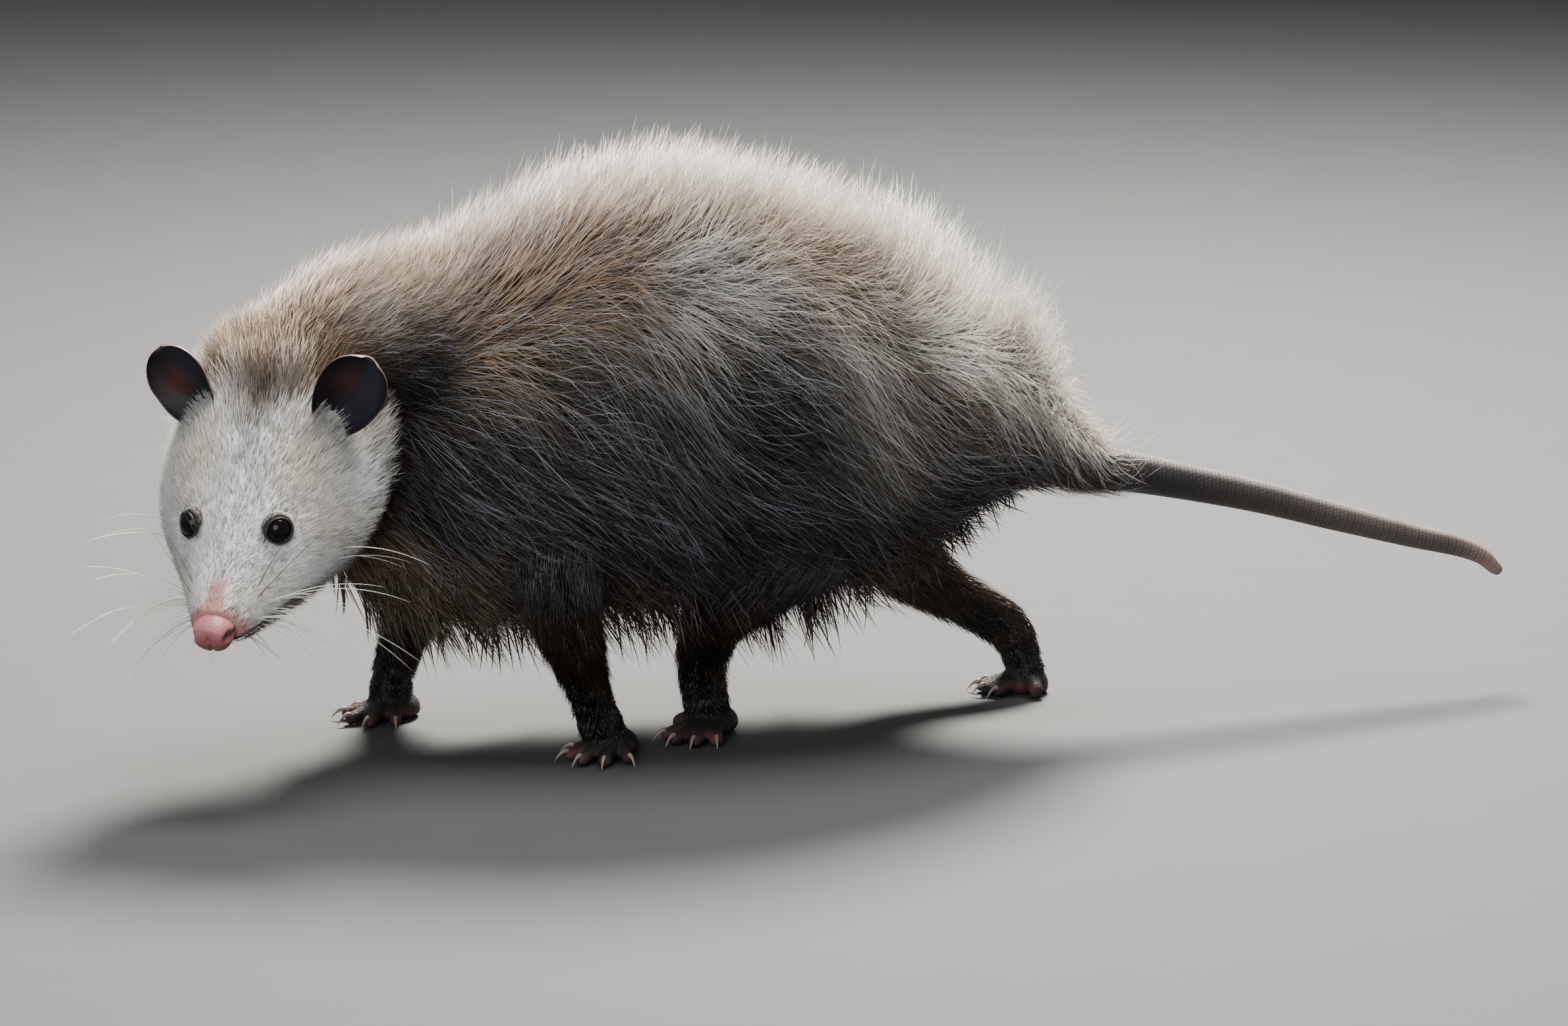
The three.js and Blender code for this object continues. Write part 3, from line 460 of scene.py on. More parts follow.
# The paws: a palm, jointed toes with pads, and claws as a piece of their own.
foreToes = [(-62, 17, 3.2), (-28, 21, 3.4), (0, 22.5, 3.5), (27, 21, 3.4), (60, 17, 3.2)]
hindToes = [(-30, 24, 3.5), (-9, 27, 3.6), (11, 26.5, 3.6), (32, 23.5, 3.5)]
paws = {
    "forepaw_left": {"at": (-74, -43), "yaw": 40, "toes": foreToes, "stretch": 1, "thumb": 0, "long": 12},
    "forepaw_right": {"at": (-150, 42), "yaw": 22, "toes": foreToes, "stretch": 1, "thumb": 0, "long": 12},
    "hindpaw_left": {"at": (-26, -17), "yaw": 48, "toes": hindToes, "stretch": 1, "thumb": -1, "long": 14},
    "hindpaw_right": {"at": (121, 21), "yaw": -6, "toes": hindToes, "stretch": 0.76, "thumb": 1, "long": 9},
}
pawValues = {"wide": 9.6, "high": 14, "palmRings": 9, "palmSides": 20, "toeSides": 12, "thumb": (96, 19, 4.0),
             "claw": 6.3, "clawThick": 1.15, "clawRings": 7, "clawSides": 8}
toeProfile = [(0.2, 1.5, 1.0), (0.45, 1.62, 0.92), (0.6, 1.5, 0.98), (0.72, 1.3, 0.86), (0.86, 1.02, 0.94),
              (0.96, 0.86, 0.88), (1.03, 0.74, 0.6), (1.06, 0.66, 0.3)]  # place, height, thickness
clawPoints, clawFaces = [], []


def pawSolids(paw):
    root = np.array([*paw["at"], 0.0])
    ahead, left, _ = facing(paw["yaw"])
    angle = turns(pawValues["palmSides"])
    high = pawValues["high"]
    points = []
    for share in np.sin(np.linspace(-1, 1, pawValues["palmRings"]) * np.pi / 2):
        centre = root + ahead * share * paw["long"] + upWay * high * 0.3
        full = math.sqrt(max(1 - share * share, 0.05))
        tall = np.where(np.cos(angle) > 0, high * 0.6 * full, high * 0.31)
        points.append(centre + left * (np.sin(angle) * pawValues["wide"] * full)[:, None]
                      + upWay * (np.cos(angle) * tall)[:, None])
    solids = [(np.concatenate(points), loftFaces(pawValues["palmRings"], len(angle)))]
    toes = list(paw["toes"])
    if paw["thumb"]:
        turn, reach, thick = pawValues["thumb"]
        toes.append((turn * paw["thumb"], reach, thick))
    angle = turns(pawValues["toeSides"])
    for number, (turn, reach, thick) in enumerate(toes):
        way, side, _ = facing(paw["yaw"] + turn)
        reach = reach * paw["stretch"]
        points = []
        for out, rise, full in toeProfile:
            centre = root + way * reach * out + upWay * thick * rise * (0.92 if out > 0.8 else 1)
            points.append(centre + side * (np.sin(angle) * thick * full)[:, None]
                          + upWay * (np.cos(angle) * thick * full * 0.92)[:, None])
        solids.append((np.concatenate(points), loftFaces(len(toeProfile), len(angle))))
        if paw["thumb"] and number == len(toes) - 1:
            continue  # the opossum's hind thumb bears no claw
        start = len(clawPoints)
        for out in np.arange(pawValues["clawRings"]) / (pawValues["clawRings"] - 1):
            centre = root + way * (reach * 0.96 + pawValues["claw"] * out)
            centre = centre + upWay * (thick * (1.3 + 0.25 * math.sin(out * math.pi) - 1.05 * out ** 1.6))
            half = pawValues["clawThick"] * (1 - out) ** 0.7 + 0.12
            for turned in turns(pawValues["clawSides"]):
                clawPoints.append(centre + side * math.sin(turned) * half * 0.8
                                  + upWay * math.cos(turned) * half)
        clawFaces.extend(loftFaces(pawValues["clawRings"], pawValues["clawSides"], start))
    return solids


def ballPoints(radius, around=24, down=16):
    work = bmesh.new()
    bmesh.ops.create_uvsphere(work, u_segments=around, v_segments=down, radius=radius)
    points = np.array([v.co[:] for v in work.verts])
    faces = [tuple(v.index for v in f.verts) for f in work.faces]
    work.free()
    return points, faces


# One skin for all of the flesh but the tail and ears: lofts of the same sections at no lift,
# joined by a fine remesh.
skinValues = {"voxel": 0.0013, "smooth": 5, "sides": 72, "limbSides": 32, "limbRings": 50}


def makeSkin():
    solids = []
    for form, start, end, rings in ((trunkForm, -189, 148, 90), (neckForm, 0, 75, 30),
                                    (skullForm, -15.8, 117.5, 90)):
        solids.append(loftForm(form, np.linspace(start, end, rings), skinValues["sides"]))
    for name, rows in limbRows.items():
        places = np.linspace(0, rows[-1][0], skinValues["limbRings"])
        solids.append(loftForm(limbForm(name), places, skinValues["limbSides"]))
        solids.extend(pawSolids(paws[name.replace("leg", "paw")]))
    for side in (1, -1):
        ball, faces = ballPoints(eye["lidRadius"])
        solids.append((fromHead(ball + eyePlace(side)), faces))
    points, faces, start = [], [], 0
    for solidPoints, solidFaces in solids:
        points.append(solidPoints)
        faces.extend(tuple(start + k for k in face) for face in solidFaces)
        start += len(solidPoints)
    skin = makeObject("skin", np.concatenate(points), faces, skinMaterial)
    remesh = skin.modifiers.new("fuse", "REMESH")
    remesh.mode = "VOXEL"
    remesh.voxel_size = skinValues["voxel"]
    soften = skin.modifiers.new("soften", "SMOOTH")
    soften.factor = 0.5
    soften.iterations = skinValues["smooth"]
    bpy.context.view_layer.update()
    made = bpy.data.meshes.new_from_object(skin.evaluated_get(bpy.context.evaluated_depsgraph_get()))
    skin.modifiers.clear()
    skin.data = made
    made.name = "skin"
    made.polygons.foreach_set("use_smooth", [True] * len(made.polygons))
    return skin


mouth = {"corner": 88, "cornerZ": -19, "slope": 3.5 / 30, "deep": 1.3, "wide": 0.9, "lip": 0.9}


def mouthHeight(x):
    return mouth["cornerZ"] + (x - mouth["corner"]) * mouth["slope"]


# The mouth's groove and lower lip, and the openings of the lids.
def shapeFace(skin):
    q = toHead(meshPoints(skin.data))
    x, y, z = q.T
    near = (x > 60) & (x < 122) & (np.abs(y) < 45) & (z > -45) & (z < 40)
    inward = unit(np.stack([0 * x, -y, -10.0 - z], 1))
    gap = z - mouthHeight(x)
    along = smoothStep(84, 92, x)
    groove = mouth["deep"] * np.exp(-(gap / mouth["wide"]) ** 2) * along
    jaw = mouth["lip"] * smoothStep(0, -1.5, gap) * smoothStep(-14, -6, gap) * along
    q = q + inward * ((groove + jaw) * near)[:, None]
    for side in (1, -1):
        away = q - eyePlace(side)
        reach = np.linalg.norm(away, axis=1)
        turn = np.degrees(np.arccos(np.clip((away @ eyeLook(side)) / np.maximum(reach, 1e-6), -1, 1)))
        opened = smoothStep(eye["open"] + 6, eye["open"] - 3, turn) * (reach < 11)
        q = q - unit(away) * (np.maximum(reach - 4.4, 0) * opened)[:, None]
    body = fromHead(q)
    body[:, 2] = np.maximum(body[:, 2], 0.15)
    skin.data.vertices.foreach_set("co", toScene(body).astype(np.float32).ravel())
    skin.data.update()


skin = makeSkin()
shapeFace(skin)
print("skin ready", len(skin.data.vertices))

# The coat's markings, with painted shade at the roots of the hair and a painted bluish shade between the
# eyes. A chain of layers is painted over a base, each with a colour and a share.
palette = {
    "white": (0.97, 0.95, 0.92), "cream": (0.86, 0.73, 0.56), "tan": (0.52, 0.33, 0.17),
    "brown": (0.16, 0.088, 0.046), "charcoal": (0.045, 0.041, 0.043), "grey": (0.33, 0.32, 0.32),
    "pale": (0.80, 0.81, 0.86), "olive": (0.38, 0.30, 0.20), "umber": (0.105, 0.085, 0.072),
    "black": (0.010, 0.009, 0.009), "pink": (0.48, 0.19, 0.17), "yellow": (0.88, 0.80, 0.66),
    "skyShade": (0.84, 0.87, 0.95),
}


def plain(colour, count):
    return np.tile(np.array(palette.get(colour, colour)), (count, 1))


def blendColours(first, second, share):
    share = np.reshape(np.clip(share, 0, 1), (-1, 1))
    return first * (1 - share) + second * share


def paintOver(base, *layers):
    for colour, share in layers:
        base = blendColours(base, plain(colour, len(base)), share)
    return base


def spot(value, centre, width):
    return np.exp(-((value - centre) / width) ** 2)


def trunkColours(p, s, height):
    broad, patch, fine = waves(p, 90, 3), waves(p, 45, 5), waves(p, 16, 4)
    height = height + 0.07 * patch + 0.04 * fine
    front = smoothStep(-50, -80, s)
    bright = spot(s, -40, 26) * spot(height, 0.72, 0.16)
    band = smoothStep(-56, -80, s) * spot(height, 0.79, 0.2)
    rump = smoothStep(34, 52, s) * smoothStep(0.25, 0.6, height)
    dark = spot(s, -30, 19) * spot(height, 0.06, 0.27)
    chest = smoothStep(-112, -150, s) * smoothStep(-0.15, -0.5, height)
    middle = paintOver(
        plain("umber", len(p)),
        ("charcoal", smoothStep(0.25, -0.4, height) * (0.6 + 0.35 * patch)),
        ("olive", smoothStep(0.15, 0.6, height) * 0.8),
        ("cream", smoothStep(0.6, 0.9, height) * (0.5 - 0.35 * front)),
        ("tan", spot(s, -132, 20) * smoothStep(0.15, 0.6, height) * 0.7),
        ("tan", spot(s, -88, 20) * smoothStep(0.45, 0.8, height) * (0.85 + 0.15 * fine)),
        ("umber", spot(s, -98, 15) * spot(height, 0.48, 0.14) * 0.7),
        ("white", bright * 0.8),
        ("tan", band * (0.7 + 0.2 * fine)),
        ("brown", band * smoothStep(0.2, 1.2, waves(p, 12, 64)) * 0.7),
        ("umber", spot(s, -60, 17) * spot(height, 0.36, 0.14) * 0.6),
        ("cream", spot(s, 12, 14) * smoothStep(-0.45, 0.2, height) * 0.5),
        ("tan", spot(s, 2, 22) * spot(height, 0.84, 0.14) * 0.85),
        ("brown", spot(s, 42, 20) * spot(height, 0.26, 0.17) * 0.8),
        ("cream", rump * 0.95),
        ("white", rump * (0.5 + 0.3 * fine)),
        ("tan", spot(s, 72, 16) * spot(height, 0.25, 0.2) * 0.7),
        ("charcoal", dark * 0.95),
        ("brown", smoothStep(86, 122, s) * smoothStep(0.8, 0.1, height) * 0.9),
        ("charcoal", smoothStep(-140, -166, s) * spot(height, 0.35, 0.4) * 0.9),
        ("brown", smoothStep(-0.45, -0.8, height) * 0.85),
        ("tan", chest * 0.8))
    lightShare = (0.36 + 0.1 * fine + 0.1 * broad - 0.22 * dark + 0.5 * smoothStep(0.25, 0.7, height)
                  - 0.2 * smoothStep(-0.5, -0.85, height) + 0.4 * np.maximum(bright, rump) - 0.25 * band)
    light = rng.uniform(0, 1, len(p)) < lightShare
    tip = paintOver(
        middle,
        ("pale", np.where(light, 0.9, 0.1)),
        ("white", smoothStep(0.3, 0.8, height) * np.where(light, 0.85, 0.15) * (1 - 0.85 * band)),
        ("white", np.maximum(bright, rump) * np.where(light, 0.9, 0.3)),
        ("yellow", chest * np.where(light, 0.7, 0.2)))
    # the roots are a darkened brown: painted shade deep in the coat
    return plain("brown", len(p)) * 0.6, middle, tip


def neckColours(p, s, angle):
    height, side = np.cos(angle), np.sin(angle)
    dark = spot(height, 0.2, 0.5) * smoothStep(0.1, 0.6, np.abs(side)) * smoothStep(10, 30, s)
    middle = paintOver(
        plain("umber", len(p)),
        ("tan", smoothStep(0.15, 0.75, height) * (0.7 + 0.3 * waves(p, 18, 41))),
        ("charcoal", dark * 0.97),
        ("tan", smoothStep(-0.1, -0.5, height) * 0.9))
    light = rng.uniform(0, 1, len(p)) < 0.45 + 0.4 * smoothStep(0.4, 0.9, height) - 0.38 * dark
    tip = paintOver(
        middle,
        ("pale", np.where(light, 0.8, 0.05)),
        ("yellow", smoothStep(0.5, 0.9, height) * np.where(light, 0.6, 0.1)))
    # the roots are a darkened brown: painted shade deep in the coat
    return plain("brown", len(p)) * 0.6, middle, tip


def bareBridge(q, height):
    wide = 1.4 + 0.2 * np.maximum(q[:, 0] - 100, 0) + 0.5 * waves(q, 7, 62)
    upper = smoothStep(98, 108, q[:, 0]) * smoothStep(-0.2, 0.3, height)
    return smoothStep(wide + 2.2, wide - 1.2, np.abs(q[:, 1])) * upper


def headMarkingsAndPaintedLight(q, s, height):
    p, y, upper = fromHead(q), q[:, 1], smoothStep(0.2, 0.7, height)
    brow = (spot(y, 20, 9) + spot(y, -20, 9)) * spot(s, 52, 16) * smoothStep(0, 0.6, height)
    wide = 6 + 30 * smoothStep(42, 4, s)
    ragged = 5 * waves(p, 9, 63)
    stripe = smoothStep(wide + 6, wide - 7, np.abs(y) + ragged) * smoothStep(72, 26, s + ragged)
    stripe = stripe * smoothStep(0.1, 0.6, height)
    gap = q[:, 2] - mouthHeight(q[:, 0])
    lips = spot(gap, 0.3, 1.7) * smoothStep(82, 90, s) * (0.75 + 0.35 * waves(p, 9, 61))
    middle = paintOver(
        plain("white", len(q)),
        ("yellow", 0.2 + 0.25 * waves(p, 34, 8)),
        # a bluish tint between the eyes and down the bridge: painted skylight shade
        ("skyShade", spot(y, 0, 11) * smoothStep(28, 60, s) * upper * 0.4),
        ("cream", brow * 0.65),
        ("olive", stripe * (0.55 + 0.25 * waves(p, 12, 9))),
        ("tan", stripe * smoothStep(40, 10, s) * 0.7),
        ("brown", stripe * smoothStep(24, 0, s) * (0.4 + 0.3 * waves(p, 14, 67))),
        ("grey", smoothStep(10, -8, s + ragged) * 0.6),
        ("umber", smoothStep(0, -12, s + ragged) * 0.7),
        ("brown", spot(y, 0, 5) * spot(s, 34, 9) * upper * 0.75),
        ("pink", np.maximum(bareBridge(q, height), smoothStep(112, 116.5, s)) * 0.9),
        ("tan", smoothStep(2, -4, gap) * smoothStep(70, 84, s) * 0.6),
        ("charcoal", lips),
        ("tan", smoothStep(-0.3, -0.8, height) * smoothStep(75, 30, s) * 0.6))
    for side in (1, -1):
        away = np.linalg.norm(q - eyePlace(side), axis=1)
        corner = np.linalg.norm(q - eyePlace(side) - np.array([5.5, -3.2 * side, 0.5]), axis=1)
        ring = np.maximum(smoothStep(7.4, 6.2, away), 0.6 * smoothStep(4.2, 2, corner))
        middle = paintOver(middle, ("umber", smoothStep(11.5, 6.4, away) * 0.3), ("umber", ring * 0.9))
    return middle, stripe


# The coat. Every tuft is a closed, three sided blade whose path runs over one of the forms.
def tuftMesh(name, paths, sides, outs, widths, colours, patches, material):
    count, rings = paths.shape[:2]
    half = widths[:, :-1, None]
    body, sides, outs = paths[:, :-1], sides[:, :-1] * half, outs[:, :-1] * half * 0.8
    corners = np.stack([body + sides, body - sides, body + outs], 2)
    points = np.concatenate([corners.reshape(count, -1, 3), paths[:, -1:]], 1)
    each = points.shape[1]
    faces = []
    for r in range(rings - 2):
        for k in range(3):
            a, b = r * 3 + k, r * 3 + (k + 1) % 3
            faces += [(a, b, b + 3), (a, b + 3, a + 3)]
    last = (rings - 2) * 3
    for k in range(3):
        faces.append((last + k, last + (k + 1) % 3, each - 1))
    faces.append((0, 2, 1))
    whole = (np.arange(count)[:, None, None] * each + np.array(faces)[None]).reshape(-1, 3)
    mesh = bpy.data.meshes.new(name)
    mesh.vertices.add(count * each)
    mesh.vertices.foreach_set("co", toScene(points.reshape(-1, 3)).astype(np.float32).ravel())
    mesh.loops.add(len(whole) * 3)
    mesh.loops.foreach_set("vertex_index", whole.ravel().astype(np.int32))
    mesh.polygons.add(len(whole))
    mesh.polygons.foreach_set("loop_start", np.arange(len(whole), dtype=np.int32) * 3)
    mesh.polygons.foreach_set("use_smooth", np.ones(len(whole), bool))
    mesh.update(calc_edges=True)
    ringColours = np.repeat(colours[:, :-1], 3, axis=1)
    setColour(mesh, np.concatenate([ringColours, colours[:, -1:]], 1).reshape(-1, 3))
    # each tuft has a small patch of its own in the map, placed as its root is on the body
    down = np.concatenate([np.repeat(np.arange(rings - 1) / (rings - 1), 3), [1.0]])
    over = np.concatenate([np.tile([0.0, 1.0, 0.5], rings - 1), [0.5]])
    patch = patches[:, None, :] + 0.003 * np.stack([over, down], 1)[None]
    layer = mesh.uv_layers.new(name="OFBake")
    layer.data.foreach_set("uv", patch.reshape(-1, 2)[whole.ravel()].astype(np.float32).ravel())
    mesh.materials.append(material)
    piece = linkNew(name, mesh)
    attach(piece, "root")
    return piece


coatPieces, rootTree = [], []
quickShare = 1.0
tuftShapes = {3: ((0.0, 0.5, 1.0), (0.85, 0.85, 0.0)), 4: ((0.0, 0.36, 0.72, 1.0), (0.75, 1.0, 0.68, 0.0))}
mostFaces = 196000


# One layer of hair: its roots are drawn evenly over a form, by the size of the ring each lies on.
class Hair:
    def __init__(self, form, span, count, keep, lean=None):
        self.form, self.span = form, span
        count = int(count * quickShare)
        found, total = [], 0
        while total < count:
            s = rng.uniform(*span, count * 2)
            angle = rng.uniform(-np.pi, np.pi, count * 2)
            place = form(s, angle, 0 * s)
            size = np.linalg.norm(form(s, angle + 0.02, 0 * s) - place, axis=1) / 0.02
            good = rng.uniform(0, 1, count * 2) < size / size.max() * (lean(s, angle) if lean else 1)
            good &= keep(place)
            found.append(np.stack([s, angle], 1)[good])
            total += good.sum()
        self.s, self.angle = np.concatenate(found)[:count].T
        self.count = count
        self.p = form(self.s, self.angle, 0 * self.s)
        self.crest = np.clip(np.cos(self.angle), 0, 1)

    def even(self, low, high):
        return rng.uniform(low, high, self.count)

    def normal(self, middle, spread):
        return middle + spread * np.clip(rng.normal(0, 1, self.count), -2, 2)

    def strays(self, spread):
        return spread * np.clip(rng.normal(0, 1, (self.count, 3)), -1.8, 1.8)

    def grow(self, name, kind, rings, colours, tone, toward, reach, swing, root, tip, rise, clump, gather,
             bend, flow, width, stray, middleAt=0.5):
        form, s, angle = self.form, self.s, self.angle
        aside = form(s, angle + 0.05, 0 * s) - self.p
        radius = np.maximum(np.linalg.norm(aside, axis=1) / 0.05, 4)
        reach = (reach + 0.4 * flow * waves(self.p, 50, 31)) * toward
        swing = (swing + flow * waves(self.p, 62, 32) + 0.5 * flow * waves(self.p, 21, 33)) / radius
        # tufts lean together: each tip is drawn towards the middle of its own clump
        cellS, cellA = np.floor(s / clump), np.floor(angle * radius / clump)
        mixed = np.sin(cellS * 127.1 + cellA * 311.7) * 43758.5453
        pullS = (cellS + 0.25 + 0.5 * (mixed % 1)) * clump - s
        pullA = ((cellA + 0.25 + 0.5 * ((mixed * 1.37) % 1)) * clump - angle * radius) / radius
        steps, profile = tuftShapes[rings]
        first, middle, last = (colour * tone for colour in colours)
        paths, outs, shades = [], [], []
        for t in steps:
            drawn = gather * t ** 1.3
            lift = root + (tip - root) * (1 - (1 - t) ** rise)
            ss = s + reach * t + pullS * drawn
            aa = angle + swing * t + pullA * drawn + bend * t * (1 - t) / radius
            place = form(ss, aa, lift)
            paths.append(place + stray * t ** 2)
            outs.append(unit(form(ss, aa, lift + 0.6) - place))
            low, high = np.clip(t / middleAt, 0, 1), np.clip((t - middleAt) / (1 - middleAt), 0, 1)
            shades.append((first * (1 - low) + middle * low) * (1 - high) + last * high)
        paths, outs, shades = np.stack(paths, 1), np.stack(outs, 1), np.stack(shades, 1)
        tangent = np.gradient(paths, axis=1)
        sides = unit(np.cross(tangent, outs))
        outs = unit(np.cross(sides, tangent))
        widths = width[:, None] * np.array(profile)[None]
        u = (s - self.span[0]) / (self.span[1] - self.span[0])
        v = (angle + np.pi) / (2 * np.pi)
        patches = np.stack([u, v], 1) * 0.99
        parts = math.ceil(self.count / (mostFaces // ((rings - 2) * 6 + 4)))
        for number, k in enumerate(np.array_split(rng.permutation(self.count), parts)):
            label = f"{name}{number + 1}" if parts > 1 else name
            coatPieces.append(tuftMesh(label, paths[k], sides[k], outs[k], widths[k], shades[k], patches[k],
                                       coatMaterials[kind]))
        if kind != "guardHair":
            rootTree.append((paths[:, 0], shades[:, 1]))


def trunkTufts():
    values = {"under": 28000, "guard": 23600, "crest": 6000, "belly": 4200, "span": (-186, 146)}

    def keep(p):
        return (depthInNeck(p) > 0.97) & (depthInSkull(p) > 1) & clearOfLimbs(p)

    def settle(layer, lean=None):
        hair = Hair(trunkForm, values["span"], values[layer], keep, lean)
        crest = hair.crest ** 2
        rear = (0.35 * smoothStep(15, 70, hair.s) + 0.9 * smoothStep(78, 125, hair.s)) * crest
        return hair, np.sin(hair.angle), crest, rear, trunkColours(hair.p, hair.s, np.cos(hair.angle))

    def room(hair, end):
        return np.clip(end - hair.s, 12, 80)

    def quiet(wander, crest):
        return wander * np.stack([0 * crest + 1, 0.35 + 0.5 * crest, 0.7 + 0.3 * crest], 1)

    hair, side, crest, rear, (root, middle, tip) = settle("under")
    hair.grow(
        "backUnder", "softCoat", 3, (root, middle, blendColours(middle, tip, 0.1 + 0.3 * crest)),
        tone=(hair.even(0.65, 1.2) * (1 + 0.15 * waves(hair.p, 10, 51)))[:, None], toward=1,
        reach=np.minimum((25 - 14 * crest) * hair.even(0.7, 1.2) * (1 - 0.4 * rear), room(hair, 163)),
        swing=hair.normal(14, 4) * side, root=-0.03,
        tip=(0.66 + 0.16 * crest + hair.normal(0, 0.09)) * (1 + 0.8 * rear), rise=1.15 + 0.4 * (1 - crest),
        clump=9, gather=hair.even(0.2, 0.8), bend=hair.normal(0, 4), flow=7, width=hair.even(0.3, 0.55),
        stray=quiet(hair.strays(1.6), crest), middleAt=0.45)

    hair, side, crest, rear, (_, middle, tip) = settle("guard")
    low = 1 - crest
    hair.grow(
        "backGuard", "guardHair", 4, (middle, blendColours(middle, tip, 0.6 - 0.35 * crest), tip),
        tone=(hair.even(0.6, 1.15) * (1 + 0.22 * waves(hair.p, 9, 53)))[:, None], toward=1,
        reach=np.minimum((40 - 20 * crest) * hair.even(0.65, 1.25) * (1 - 0.3 * rear), room(hair, 165)),
        swing=hair.normal(20, 7) * side * (0.7 + 0.6 * low), root=0.1,
        tip=(0.93 + np.clip(hair.normal(0, 0.12), -1, 0.12 + 0.2 * crest)) * (1 + rear), rise=1.1 + 0.4 * low,
        clump=6, gather=hair.even(0.1, 0.8), bend=hair.normal(0, 10), flow=11, width=hair.even(0.09, 0.17),
        stray=quiet(hair.strays(4), crest))

    hair, side, crest, rear, (_, middle, _) = settle(
        "crest", lambda s, angle: smoothStep(0.84, 0.99, np.cos(angle)))
    white, tan = plain("white", hair.count), paintOver(middle, ("tan", 0.5))
    locks = waves(hair.p, 13, 52)
    # the roots are a darker tan than the middle: painted shade at the foot of the crest
    hair.grow(
        "crestHair", "guardHair", 4, (tan * 0.7, blendColours(tan, white, 0.35), white), tone=1, toward=1,
        reach=np.minimum(hair.even(5, 24) * (1 - 0.25 * rear), room(hair, 168)),
        swing=hair.normal(3, 6) * side,
        root=0.3, tip=(hair.normal(1.03, 0.08) + 0.07 * locks) * (1 + rear), rise=1.05, clump=5,
        gather=hair.even(0.3, 1.0), bend=hair.normal(0, 5), flow=7, width=hair.even(0.1, 0.18),
        stray=quiet(hair.strays(3), crest), middleAt=0.42)

    hair, side, _, _, (_, middle, _) = settle(
        "belly", lambda s, angle: smoothStep(-0.35, -0.7, np.cos(angle)) * smoothStep(110, 80, s))
    dark = paintOver(middle, ("black", 0.75))
    under = smoothStep(-0.6, -0.9, np.cos(hair.angle))
    hair.grow(
        "bellyFringe", "wetHair", 4, (middle * 0.6, dark, dark * 0.5), tone=1, toward=1,
        reach=hair.even(6, 24), swing=hair.normal(4, 5) * side, root=0,
        tip=1.1 + hair.normal(0.6, 0.35) * under,
        rise=1.0, clump=20, gather=hair.even(0.8, 1.0), bend=hair.normal(0, 3), flow=5,
        width=hair.even(0.3, 0.55), stray=hair.strays(0.7))


def neckTufts():
    def keep(p):
        return (depthInTrunk(p) > 0.97) & (depthInSkull(p) > 0.99) & clearOfLimbs(p)

    def upper(s, angle):
        return 0.45 + 0.55 * smoothStep(0.5, 0.9, np.cos(angle))

    layers = {
        "neckUnder": {"kind": "softCoat", "count": 5000, "rings": 3, "lean": None, "reach": 20, "root": -0.03,
                      "tip": 0.75, "width": (0.3, 0.55)},
        "neckGuard": {"kind": "guardHair", "count": 6000, "rings": 4, "lean": upper, "reach": 30, "root": 0.1,
                      "tip": 1.05, "width": (0.09, 0.17)},
    }
    for name, layer in layers.items():
        hair = Hair(neckForm, (-4, 75), layer["count"], keep, layer["lean"])
        crest = hair.crest ** 2
        root, middle, tip = neckColours(hair.p, hair.s, hair.angle)
        if name == "neckUnder":
            colours = (root, middle, blendColours(middle, tip, 0.12 + 0.35 * crest))
        else:
            colours = (middle, blendColours(middle, tip, 0.4 - 0.2 * crest), tip)
        hair.grow(
            name, layer["kind"], layer["rings"], colours, tone=hair.even(0.7, 1.2)[:, None], toward=-1,
            reach=(layer["reach"] - 14 * crest) * hair.even(0.6, 1.2),
            swing=hair.normal(8, 4) * np.sin(hair.angle),
            root=layer["root"], tip=layer["tip"] + hair.normal(0, 0.12) + 0.25 * crest,
            rise=1.15 + 0.4 * (1 - crest), clump=7, gather=hair.even(0.15, 0.75), bend=hair.normal(0, 4),
            flow=4,
            width=hair.even(*layer["width"]), stray=hair.strays(2), middleAt=0.45)


